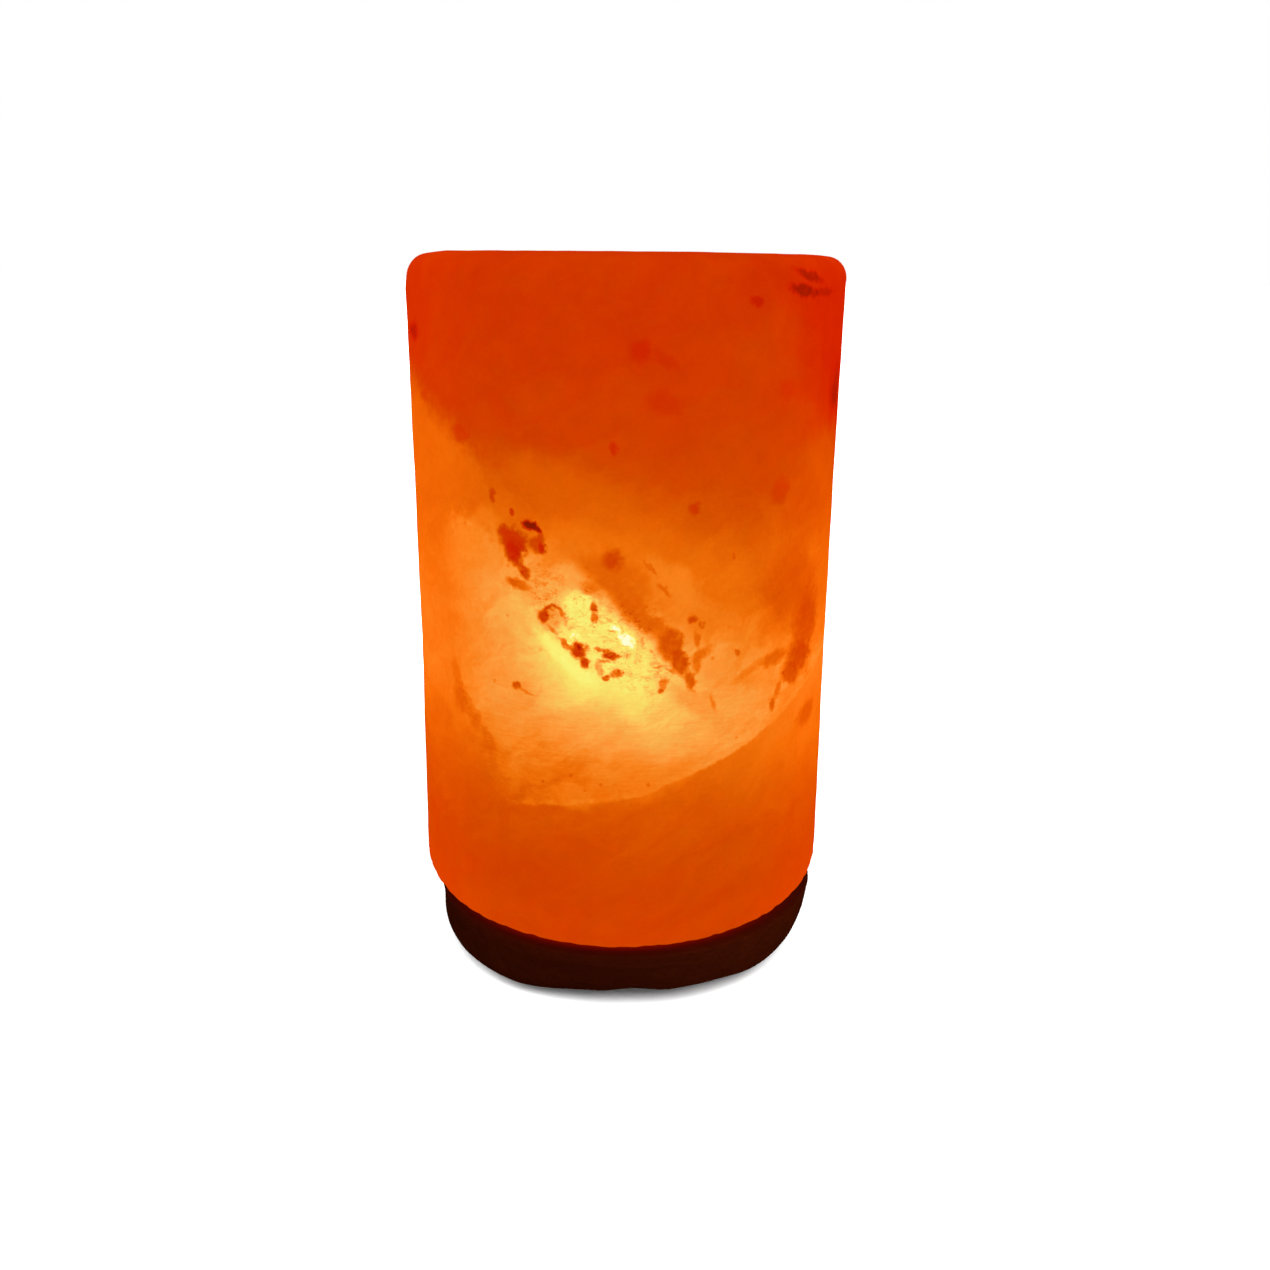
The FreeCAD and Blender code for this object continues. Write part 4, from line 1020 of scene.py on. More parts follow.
@dataclass(frozen=True)
class GlowingSalt(Lit):
    """Rock salt lit from inside: a level of glow worked out over the block, coloured by one ramp.

    The level is a share of full brightness. It is a slow fall from the bottom to the top, a belt round
    the bulb, clear crystal between flat beds, clouds and veins of noise, and the marks. The ramp goes
    from dark red over orange and peach to pale yellow, as the light has less salt to pass.

    Attributes:
        radius: radius of the block in millimetres.
        bulb_height: height of the belt's middle.
        belt_width: how far the belt reaches up and down.
        belt_level: how much brighter the belt's middle is.
        bore: radius and top of the bore.
        fall: heights of the bottom and the top, and the levels there.
        lower: the bed that ends the clear crystal below, with a line of light along it.
        other_beds: the upper bed, the lid, the left end and the front flank of the clear crystal.
        steep: the steep bed at the upper left.
        heart: middle of the torn patch in front of the bulb.
        heart_lean: degrees by which the patch falls to the right.
        heart_size: its half axes.
        returned: how much light the surface returns by itself, as a share of its base colour.
    """

    radius: float = 50.0
    bulb_height: float = 87.0
    belt_width: float = 32.0
    belt_level: float = 0.24
    bore: Tuple[float, float] = (23.0, 96.1)
    fall: Tuple[float, float, float, float] = (20.0, 165.0, 0.25, 0.203)
    lower: Bed = Bed((-0.225, -0.329, 0.917), 67.8, 0.7, 0.4, 0.45)
    other_beds: Tuple[Bed, ...] = (
        Bed((-0.425, 0.0, -0.905), -95.5, 5.0, 2.2, 8.0),
        Bed((0.1, 0.0, -0.995), -116.5, 2.0, 2.4, 3.5),
        Bed((0.645, -0.56, 0.521), 36.3, 2.0, 1.2, 3.0),
        Bed((0.643, -0.766, 0.0), 1.5, 2.0, 1.0, 4.5),
    )
    steep: Bed = Bed((-0.596, 0.13, -0.792), -89.4, 1.6, 1.5, 4.0)
    heart: Point = (-4.5, -49.6, 93.5)
    heart_lean: float = 38.0
    heart_size: Point = (26.0, 50.0, 9.5)
    returned: float = 1.9

    def ramp(self) -> List[Tuple[float, Colour]]:
        """Stops of (level, linear colour), less the light that the surface returns by itself."""
        screen = (
            (0.00, (70, 8, 0)), (0.06, (150, 16, 0)), (0.12, (200, 31, 0)), (0.20, (205, 51, 0)),
            (0.275, (207, 70, 0)), (0.35, (220, 90, 1)), (0.43, (236, 110, 8)), (0.51, (246, 131, 30)),
            (0.59, (249, 150, 56)), (0.69, (249, 176, 78)), (0.78, (248, 202, 94)), (0.86, (248, 225, 104)),
            (0.94, (248, 243, 122)), (1.00, (255, 253, 212)),
        )
        stops = []
        for level, colour in screen:
            pairs = zip(linear(colour), self.colour)
            stops.append((level, tuple(max(part - self.returned * own, 0.0) for part, own in pairs)))
        return stops

    def clear_crystal(self, graph: Graph, place: Feed, slow: Feed, fine: Feed) -> Tuple[Feed, Feed, Feed]:
        """The part between the beds.

        Args:
            graph: the material's graph.
            place: place in millimetres.
            slow: slow swing of the outlines.
            fine: fine swing of the outlines.

        Returns:
            How far a place lies in the clear crystal, the light line along its lower bed, and how far it
            lies under the steep bed at the upper left.
        """

        def laid(bed: Bed) -> Node:
            """One bed, with its slow waver and fine raggedness."""
            wiggle = graph.math("MULTIPLY_ADD", slow, bed.waver, graph.math("MULTIPLY", fine, bed.ragged))
            sizes = {"Offset": bed.offset, "Width": bed.width}
            return graph.group(GROUPS.bed, Place=place, Normal=bed.normal, Wiggle=wiggle, **sizes)

        lower, steep = laid(self.lower), laid(self.steep)
        inside = lower.outputs["Side"]
        for bed in self.other_beds:
            inside = graph.math("MULTIPLY", inside, laid(bed).outputs["Side"])
        broken = graph.ramped(graph.noise(place, 0.35, 3.0, 0.6).outputs[0], 0.4, 0.6, 0.15, 1.0)
        reach = graph.math("MULTIPLY", graph.bell(graph.part(place, "X"), -7.0, 19.0), broken)
        line = graph.math("MULTIPLY", graph.bell(lower.outputs["Distance"], 0.6, 0.75), inside)
        return inside, graph.math("MULTIPLY", line, reach), steep.outputs["Side"]

    def level(self, graph: Graph) -> Feed:
        """The glow over the block, from 0 to 1."""
        place = graph.place()
        along, rise = graph.part(place, "X"), graph.part(place, "Z")
        warped = self.warped(graph, place, 0.11, 9.0)
        ragged_place = self.warped(graph, place, 0.6, 1.8)
        slow = graph.swing(place, 0.05, 2.0)
        fine = graph.swing(place, 0.45, 5.0, 0.62)
        crystal, line, under_steep = self.clear_crystal(graph, place, slow, fine)

        base = graph.straight(rise, *self.fall)
        belt = graph.math("MULTIPLY", graph.bell(rise, self.bulb_height, self.belt_width), self.belt_level)
        level = graph.math("ADD", base, belt)
        flank = graph.math("MULTIPLY", under_steep, graph.bell(rise, 134.0, 19.0))
        level = graph.math("MULTIPLY_ADD", flank, 0.15, level)
        level = graph.math("MULTIPLY_ADD", crystal, self.ridge(graph, warped), level)
        right = graph.math("MULTIPLY", graph.ramped(along, 0.0, 42.0), graph.bell(rise, 62.0, 20.0))
        level = graph.math("MULTIPLY_ADD", right, 0.055, level)
        level = graph.math("ADD", level, graph.ramped(rise, 16.5, 21.5, 0.03, 0.0))
        level = graph.math("MULTIPLY_ADD", line, 0.11, level)
        level = graph.math("ADD", level, self.clouds(graph, place, warped, crystal, belt))
        level = self.marked(graph, level, place, warped, ragged_place)
        level = graph.math("ADD", level, self.torn_heart(graph, place))
        level = graph.math("ADD", level, self.surface_grain(graph, place, rise, crystal, belt))
        return self.inside_bore(graph, level, rise, graph.off_axis(place))

    def marked(self, graph: Graph, level: Feed, place: Feed, coarse: Feed, fine: Feed) -> Feed:
        """The level with every mark laid on it in turn.

        Args:
            graph: the material's graph.
            level: the level so far.
            place: place in millimetres.
            coarse: the place as coarse outlines see it.
            fine: the place as fine outlines see it.

        Returns:
            The new level.
        """
        ragged = {
            Edge.FINE: graph.math("MULTIPLY", graph.swing(place, 0.6, 3.0, 0.55), 0.24),
            Edge.COARSE: graph.math("MULTIPLY", graph.swing(place, 0.09, 5.0, 0.65), 0.35),
        }
        bent = {Edge.FINE: fine, Edge.COARSE: coarse}
        patchy = graph.ramped(graph.noise(place, 0.7, 3.0, 0.5).outputs[0], 0.36, 0.56, 0.86, 1.0)
        blotch = {Edge.FINE: patchy, Edge.COARSE: 1.0}
        for mark in MARKS:
            size = (mark.wide, max(mark.wide, mark.tall), mark.tall)
            turn = (0.0, math.radians(mark.tilt), math.radians(mark.angle))
            level = graph.group(
                GROUPS.mark, Level=level, Place=bent[mark.edge], Ragged=ragged[mark.edge],
                Blotch=blotch[mark.edge], Centre=mark.centre(self.radius), Turn=turn, Size=size,
                Edge=mark.soft, Target=mark.level, Strength=mark.share,
            ).outputs[0]
        return level

    @staticmethod
    def ridge(graph: Graph, place: Feed) -> Feed:
        """How much brighter the clear crystal is: a ridge of light that falls to the right past the bulb.

        With d square to the ridge and s along it, it is 0.045 + bell(d) (0.10 + 0.32 bell(s)).
        """
        across = graph.bell(graph.dot(place, (0.69, 0.0, 0.72)), 59.0, 15.0)
        along = graph.bell(graph.dot(place, (0.72, 0.0, -0.69)), -62.0, 21.0)
        return graph.math("MULTIPLY_ADD", across, graph.math("MULTIPLY_ADD", along, 0.32, 0.10), 0.045)

    @staticmethod
    def warped(graph: Graph, place: Feed, per_mm: float, reach: float) -> Feed:
        """The place, pushed about by up to half of reach millimetres, so that outlines come out uneven."""
        drift = graph.noise(place, per_mm, 3.0, 0.55).outputs["Color"]
        centred = graph.vector("SUBTRACT", drift, (0.5, 0.5, 0.5))
        return graph.vector("ADD", place, graph.scaled(centred, reach))

    @staticmethod
    def clouds(graph: Graph, place: Feed, warped: Feed, crystal: Feed, belt: Feed) -> Feed:
        """Veins that fall to the right, and slow clouds; both are strongest in the clear crystal."""
        drawn = graph.vector("MULTIPLY", graph.leaned(warped, 28.0), (0.3, 0.6, 1.0))
        veins = graph.swing(drawn, 0.17, 5.0, 0.66, 0.6)
        broad = graph.swing(place, 0.035, 3.0, 0.5)
        strength = graph.math("MULTIPLY_ADD", crystal, 0.055, graph.math("MULTIPLY_ADD", belt, 0.09, 0.02))
        return graph.math("MULTIPLY_ADD", veins, strength, graph.math("MULTIPLY", broad, 0.018))

    def torn_heart(self, graph: Graph, place: Feed) -> Feed:
        """Cracks, crumbs and dark dust in a leaning patch in front of the bulb.

        All are drawn out sideways. A crack is where slow noise crosses zero.
        """
        tipped = graph.leaned(graph.vector("SUBTRACT", place, self.heart), -self.heart_lean)
        away = graph.length(graph.vector("DIVIDE", tipped, self.heart_size))
        uneven = graph.math("MULTIPLY_ADD", graph.swing(place, 0.12, 3.0, 0.6), 0.2, away)
        patch = graph.ramped(uneven, 0.45, 1.1, 1.0, 0.0)
        drawn = graph.vector("MULTIPLY", place, (0.62, 0.8, 1.0))
        bent = self.warped(graph, drawn, 0.7, 1.2)
        near = graph.math("ABSOLUTE", graph.swing(bent, 0.5, 3.0, 0.6))
        broken = graph.ramped(graph.noise(place, 0.5, 2.0).outputs[0], 0.44, 0.62)
        lines = graph.math("MULTIPLY", graph.ramped(near, 0.0, 0.3, 1.0, 0.0), broken)
        crumbs = graph.swing(drawn, 0.8, 4.0, 0.7)
        dust = graph.ramped(graph.noise(place, 1.2, 3.0, 0.6).outputs[0], 0.58, 0.68)
        amount = graph.math("MULTIPLY_ADD", lines, -0.14, graph.math("MULTIPLY", crumbs, 0.08))
        amount = graph.math("MULTIPLY_ADD", dust, -0.13, amount)
        return graph.math("MULTIPLY", amount, patch)

    @staticmethod
    def surface_grain(graph: Graph, place: Feed, rise: Feed, crystal: Feed, belt: Feed) -> Feed:
        """Fine sparkle, a few dark specks in the crystal, and the level lines left by the sanding."""
        sparkle = graph.swing(place, 1.1, 3.0, 0.7)
        level_lines = graph.swing(graph.vector("MULTIPLY", place, (0.1, 0.1, 1.0)), 2.2, 3.0, 0.7)
        where = graph.math("MULTIPLY", graph.bell(rise, 70.0, 15.0), crystal)
        sanded = graph.math("MULTIPLY", level_lines, where)
        specks = graph.node("TexVoronoi", {"Vector": place, "Scale": 0.3, "Randomness": 1.0})
        hit = graph.ramped(specks.outputs["Distance"], 0.08, 0.2, 1.0, 0.0)
        draw = graph.node("SeparateColor", {0: specks.outputs["Color"]}).outputs[0]
        chosen = graph.math("GREATER_THAN", draw, 0.7)
        dark = graph.math("MULTIPLY", graph.math("MULTIPLY", hit, crystal), chosen)
        grain = graph.math("MULTIPLY", sparkle, graph.math("MULTIPLY_ADD", belt, 0.06, 0.006))
        grain = graph.math("MULTIPLY_ADD", sanded, 0.036, grain)
        return graph.math("MULTIPLY_ADD", dark, -0.09, grain)

    @staticmethod
    def redder(graph: Graph, place: Feed, colour: Feed) -> Feed:
        """The colour with more red on the left and right flanks and next to the wood."""
        aside = graph.ramped(graph.math("ABSOLUTE", graph.part(place, "X")), 24.0, 47.0, 1.0, 1.17)
        foot = graph.ramped(graph.part(place, "Z"), 17.0, 34.0, 1.09, 1.0)
        red = graph.math("MULTIPLY", aside, foot)
        return graph.vector("MULTIPLY", colour, graph.node("CombineXYZ", {0: red, 1: 1.0, 2: 1.0}).outputs[0])

    def inside_bore(self, graph: Graph, level: Feed, rise: Feed, off_axis: Feed) -> Feed:
        """Lights the wall of the bore, which the bulb shines on from a few millimetres away."""
        bore_r, bore_top = self.bore
        in_radius = graph.ramped(off_axis, bore_r + 1.0, bore_r + 4.0, 1.0, 0.0)
        below_top = graph.ramped(rise, bore_top + 1.0, bore_top + 8.0, 1.0, 0.0)
        wall = graph.math("MULTIPLY_ADD", graph.bell(rise, 78.0, 26.0), 0.42, 0.5)
        return graph.blend(graph.math("MULTIPLY", in_radius, below_top), level, wall)

    def fill(self, graph: Graph, shader: Node) -> None:
        """The ramp feeds the emission; the base colour, roughness and bump carry the dry salt skin."""
        place = graph.place()
        glow = graph.colours(self.level(graph), self.ramp())
        graph.feed(shader.inputs["Emission Color"], self.redder(graph, place, glow))
        shader.inputs["Emission Strength"].default_value = 1.0
        dusty = graph.noise(place, 0.2, 5.0, 0.6).outputs[0]
        deep = tuple(part * 0.72 for part in self.colour)
        shade = graph.tint(graph.ramped(dusty, 0.3, 0.7), deep, self.colour)
        graph.feed(shader.inputs["Base Color"], shade)
        graph.feed(shader.inputs["Roughness"], graph.straight(dusty, 0.3, 0.7, 0.5, 0.75))
        shader.inputs["Specular IOR Level"].default_value = 0.0
        feeds = {"Vector": place, "Scale": 1.3, "Randomness": 1.0}
        grains = graph.node("TexVoronoi", feeds).outputs["Distance"]
        rub = graph.noise(graph.vector("MULTIPLY", place, (0.12, 0.12, 1.0)), 1.8, 3.0, 0.6).outputs[0]
        graph.bump(shader, graph.math("MULTIPLY_ADD", rub, 0.8, grains), 0.12, 0.6)


SALT = GlowingSalt("salt_glowing", (0.06, 0.004, 0.0))
WOOD = StainedWood("wood_dark_stain", (0.0088, 0.0011, 0.0002))
RUBBER = Moulded(
    "rubber_pad", (0.02, 0.02, 0.02), cast=(0.035, 0.034, 0.032), gloss=(0.7, 0.9), tooth_depth=0.05,
    tooth_scale=3.0, specular=0.25,
)
NYLON = Moulded("nylon_plug", (0.62, 0.61, 0.57), cast=(0.54, 0.53, 0.48), gloss=(0.38, 0.52))
PLASTIC = Moulded(
    "holder_black", (0.012, 0.012, 0.012), cast=(0.02, 0.019, 0.018), gloss=(0.28, 0.42), tooth_depth=0.015
)
CERAMIC = Moulded("ceramic_block", (0.72, 0.69, 0.6), cast=(0.6, 0.56, 0.47), gloss=(0.3, 0.45), coat=0.4)
CAP_GLASS = Moulded(
    "cap_black_glass", (0.01, 0.01, 0.014), cast=(0.016, 0.016, 0.02), gloss=(0.08, 0.16), tooth_depth=0.005
)
ZINC = Metal("zinc_steel", (0.62, 0.6, 0.5), tarnish=(0.4, 0.38, 0.3), gloss=(0.25, 0.45))
BRASS = Metal("brass_sheet", (0.76, 0.5, 0.17), tarnish=(0.42, 0.25, 0.09), gloss=(0.18, 0.38))
SPRING_STEEL = Metal("spring_steel", (0.52, 0.52, 0.53), tarnish=(0.3, 0.29, 0.28), gloss=(0.14, 0.32))
NICKEL = Metal("nickel_plate", (0.7, 0.67, 0.61), tarnish=(0.5, 0.47, 0.41), gloss=(0.14, 0.3))
CLEAR = Glass("bulb_clear_glass", (0.92, 0.94, 0.94))
HOT_WIRE = Glowing("filament_glow", (0.2, 0.12, 0.05))


def dress_nodes(finishes: Dict[str, Finish]) -> None:
    """Dresses the CAD nodes that the scene keeps."""
    for node, finish in finishes.items():
        finish.dress(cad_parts[node])
        LOG.info("%s dressed in %s", node, finish.name)


# ------------------------------------------------------------------------------- the lamp


@dataclass
class SaltBlock:
    """The turned block of rock salt with its bore.

    Attributes are millimetres; heights are above the table.
    """

    radius: float = 50.3
    bottom: float = 16.1
    top: float = 170.2
    waist: float = 0.35
    top_round: float = 4.8
    bottom_round: float = 8.4
    bore_r: float = 23.0
    bore_top: float = 96.1
    bore_round: float = 3.0
    mouth: float = 1.0
    plug_hole_r: float = 4.1
    plug_hole_top: float = 43.1
    plug_circle_r: float = 32.3
    plug_angles: Tuple[float, ...] = (0.0, 120.0, 240.0)
    columns: int = 384
    flare: float = 0.25  # how much wider the top is
    dip: float = 0.25  # how much lower the top lies on the right
    worn: float = 0.9  # how much the top edge is rubbed down on the left
    pit: float = 0.16  # depth of the pit at a small dark mark
    finish: Finish = SALT

    def profile(self) -> Array:
        """From the middle of the top over the side and the bottom up the bore to its end."""
        bend, foot = self.top_round, self.bottom_round
        side_top, side_bottom = self.top - bend, self.bottom + foot
        height = np.linspace(side_top, side_bottom, 124)
        middle, half = (self.top + self.bottom) / 2.0, (self.top - self.bottom) / 2.0
        side_r = self.radius - self.waist * (1.0 - ((height - middle) / half) ** 2)
        side = np.stack([side_r, height], axis=1)
        top_r, foot_r = side_r[0] - bend, side_r[-1] - foot
        lip_r, lip_z = self.bore_r + self.mouth, self.bottom + self.mouth
        end_r, end_z = self.bore_r - self.bore_round, self.bore_top - self.bore_round
        return joined([
            run((0.0, self.top), (top_r, self.top), 22),
            quarter((top_r, side_top), bend, 90.0, 0.0, 9),
            side,
            quarter((foot_r, side_bottom), foot, 0.0, -90.0, 13),
            run((foot_r, self.bottom), (lip_r, self.bottom), 9),
            run((lip_r, self.bottom), (self.bore_r, lip_z), 3),
            run((self.bore_r, lip_z), (self.bore_r, end_z), 20),
            quarter((end_r, end_z), self.bore_round, 0.0, 90.0, 5),
            run((end_r, self.bore_top), (0.0, self.bore_top), 8),
        ])

    def surface(self) -> Grid:
        """The turned form, worked in along its normals by waves, rubbing, chips and small pits."""
        profile = self.profile()
        normal = -outward(profile)
        radius, height = spread(profile, self.columns)
        place = on_grid(radius, height)
        waves = np.clip(Ripple(11, 28.0, 70.0).at(place) * 0.07 + 0.13, 0.0, None)
        rub = np.clip(Ripple(12, 5.0, 12.0).at(place) * 0.022 + 0.04, 0.0, None)
        chips = np.clip(Ripple(13, 2.6, 7.0).at(place) * 0.11 + 0.08, 0.0, 0.45)
        low = 1.0 - smooth_step(height, 23.5, 30.0)
        in_bore = radius <= self.bore_r + self.mouth + 0.01
        on_bottom = (height < self.bottom + 0.01) & (radius < self.radius - self.bottom_round)
        skin = np.where(in_bore | on_bottom, 0.0, 1.0) * smooth_step(radius, 1.0, 8.0)
        depth = (waves + rub + chips * low - self.flare * smooth_step(height, 125.0, 165.0)) * skin
        for mark in MARKS:
            if mark.level < 0.25 and mark.wide < 5.0:
                offset = place - np.array(mark.centre(self.radius))
                away = np.linalg.norm(offset / max(mark.wide, mark.tall), axis=-1)
                depth = depth + self.pit * np.exp(-away ** 2) * skin
        rightness = np.clip((place[..., 0] + self.radius) / (2.0 * self.radius), 0.0, 1.0)
        high = smooth_step(height, self.top - 9.0, self.top - 1.5)
        wide = smooth_step(radius, self.radius - 10.0, self.radius - 3.0)
        depth = depth + self.worn * high * wide * (1.0 - rightness) ** 3
        radius = radius - depth * normal[:, :1]
        height = height - depth * normal[:, 1:]
        lean = smooth_step(height, 120.0, self.top) * rightness ** 3
        height = height - self.dip * np.where(height > self.bore_top + 1.0, lean, 0.0)
        return turned(radius, height, loop=False)

    def plug_holes(self) -> List[Grid]:
        """The three plain holes for the plugs, reaching out of the underside."""
        start = self.bottom - 2.0
        hole = joined([
            run((0.0, start), (self.plug_hole_r, start), 2),
            run((self.plug_hole_r, start), (self.plug_hole_r, self.plug_hole_top), 2),
            run((self.plug_hole_r, self.plug_hole_top), (0.0, self.plug_hole_top), 2),
        ])
        return set_round(hole, 32, self.plug_circle_r, self.plug_angles)

    def build(self) -> None:
        """Makes the block, drills the plug holes and dresses it."""
        block = piece("salt_turned_block", [self.surface()], Body.LAMP, "salt_block", crease=60.0)
        cut(block, self.plug_holes())
        self.finish.dress(block)


@dataclass
class WoodBase:
    """The turned base, its foot pads, and the screws and plugs that hold it on the salt.

    Attributes are millimetres. The base sits a little off the salt's axis, as it was screwed on by
    hand, and its lower edge is sanded rounder at the front.
    """

    bottom: float = 1.6
    top: float = 16.1
    bottom_r: float = 45.95
    top_r: float = 48.05
    bore_r: float = 23.5
    # degrees from the front towards +X, and the half width and half height of the lower edge's rounding
    lower_edge: Tuple[Point, ...] = (
        (-180.0, 5.6, 5.6), (-110.0, 6.0, 9.0), (-80.0, 6.0, 10.0), (-35.0, 5.6, 5.4),
        (-7.0, 13.0, 8.8), (4.0, 15.5, 10.0), (18.0, 11.0, 8.0), (30.0, 10.0, 7.7),
        (48.0, 5.0, 5.0), (110.0, 5.0, 5.0), (180.0, 5.6, 5.6),
    )
    upper_round: float = 0.8
    bore_chamfer: float = 0.4
    mouth_chamfer: float = 0.6
    off_axis: float = 1.1
    hole_r: float = 2.25
    head_r: float = 4.0
    head_seat: float = 3.6
    groove_half: float = 4.0
    groove_top: float = 8.6
    screw_circle_r: float = 32.3
    screw_angles: Tuple[float, ...] = (0.0, 120.0, 240.0)
    pad_r: float = 6.0
    pad_height: float = 1.6
    pad_round: float = 0.45
    pad_circle_r: float = 34.1
    pad_angles: Tuple[float, ...] = (142.0, 218.0, 55.0, 305.0)
    columns: int = 288
    finish: Finish = WOOD

    def surface(self) -> Grid:
        """The turned base as one closed loop of rows.

        The side is a straight taper. Its lower edge is a quarter ellipse whose half axes change round
        the base as lower_edge says, which makes it rounder at the front, where it was sanded more.
        """
        turn = angles(self.columns)
        from_front = np.degrees((turn + np.pi) % TURN - np.pi)
        where, across, upright = np.array(self.lower_edge).T
        wide, tall = eased(from_front, where, across), eased(from_front, where, upright)
        slope = (self.top_r - self.bottom_r) / (self.top - self.bottom)
        bend_r = self.bottom_r + slope * tall - wide
        bend_z = self.bottom + tall
        swing = np.radians(np.linspace(90.0, 0.0, 16))[:, None]
        low_r = bend_r + wide * np.cos(swing)
        low_z = bend_z - tall * np.sin(swing)
        part = np.linspace(0.0, 1.0, 12)[1:, None]
        side_z = bend_z + (self.top - self.upper_round - bend_z) * part
        side_r = self.bottom_r + slope * (side_z - self.bottom)
        edge_r, edge_z = self.top_r - self.upper_round, self.top - self.upper_round
        edge = quarter((edge_r, edge_z), self.upper_round, 0.0, 90.0, 6)[1:]
        bore, inset, mouth_r = self.bore_r, self.bore_chamfer, self.bore_r + self.mouth_chamfer
        mouth_z = self.bottom + self.mouth_chamfer
        inner = joined([
            run((edge_r, self.top), (bore + inset, self.top), 10),
            run((bore + inset, self.top), (bore, self.top - inset), 2),
            run((bore, self.top - inset), (bore, mouth_z), 6),
            run((bore, mouth_z), (mouth_r, self.bottom), 2),
        ])[1:]
        flat = np.linspace(0.0, 1.0, 10)[1:-1, None]
        flat_r = mouth_r + (bend_r - mouth_r) * flat
        flat_z = np.full_like(flat_r, self.bottom)
        plain = np.ones((1, self.columns))
        radius = np.concatenate([low_r, side_r, edge[:, :1] * plain, inner[:, :1] * plain, flat_r])
        height = np.concatenate([low_z, side_z, edge[:, 1:] * plain, inner[:, 1:] * plain, flat_z])
        outer = smooth_step(radius, self.bore_r + 2.0, bend_r[None, :])
        ridges = 0.04 * Ripple(31, 9.0, 30.0).at(on_grid(radius, height)) * outer
        shift = self.off_axis * (smooth_step(height, self.bottom, self.bottom + 9.0) * 1.6 - 0.6)
        radius = radius + ridges + shift * np.sin(turn)[None, :] * outer
        return turned(radius, height, loop=True)

    def groove(self) -> Grid:
        """The cord groove: a bar with rounded upper edges, from inside the bore out at the back."""
        half, top, bend = self.groove_half, self.groove_top, 1.0
        arch = np.concatenate([
            [(half, self.bottom - 2.0)],
            quarter((half - bend, top - bend), bend, 0.0, 90.0, 5),
            quarter((bend - half, top - bend), bend, 90.0, 180.0, 5),
            [(-half, self.bottom - 2.0)],
        ])
        corners = len(arch)
        ends = [np.insert(arch, 1, depth, axis=1) for depth in (5.0, self.top_r + 5.0)]
        corner = np.arange(corners)
        beside = np.roll(corner, -1)
        sides = np.stack([corner, beside, beside + corners, corner + corners], axis=-1)
        return np.concatenate(ends), [sides, corner[None, ::-1], corner[None] + corners]

    def screw_holes(self) -> List[Grid]:
        """Countersunk through holes for the screws."""
        start, end = self.bottom - 2.0, self.top + 2.0
        seat, neck = self.head_seat, self.head_seat + self.head_r - self.hole_r
        shape = joined([
            run((0.0, start), (self.head_r, start), 2),
            run((self.head_r, start), (self.head_r, seat), 2),
            run((self.head_r, seat), (self.hole_r, neck), 2),
            run((self.hole_r, neck), (self.hole_r, end), 2),
            run((self.hole_r, end), (0.0, end), 2),
        ])
        return set_round(shape, 40, self.screw_circle_r, self.screw_angles)

    def pad(self) -> Array:
        """Profile of a pad: a slightly hollow underside, a rounded lower edge and a sharp upper one."""
        inner = self.pad_r - self.pad_round
        return joined([
            run((0.0, 0.12), (inner - 0.8, 0.05), 5),
            run((inner - 0.8, 0.05), (inner, 0.0), 3),
            quarter((inner, self.pad_round), self.pad_round, -90.0, 0.0, 6),
            run((self.pad_r, self.pad_round), (self.pad_r, self.pad_height), 2),
            run((self.pad_r, self.pad_height), (0.0, self.pad_height), 3),
        ])

    def build(self) -> None:
        """Makes the base and the pads, and dresses the screws and plugs."""
        base = piece("wood_turned_base", [self.surface()], Body.LAMP, "wood_base", crease=45.0)
        cut(base, [self.groove(), *self.screw_holes()])
        self.finish.dress(base)
        pads = set_round(self.pad(), 48, self.pad_circle_r, self.pad_angles)
        RUBBER.dress(piece("foot_pads_rubber", pads, Body.LAMP, "foot_pads"))
        dress_nodes({"base_screws": ZINC, "screw_plugs": NYLON})


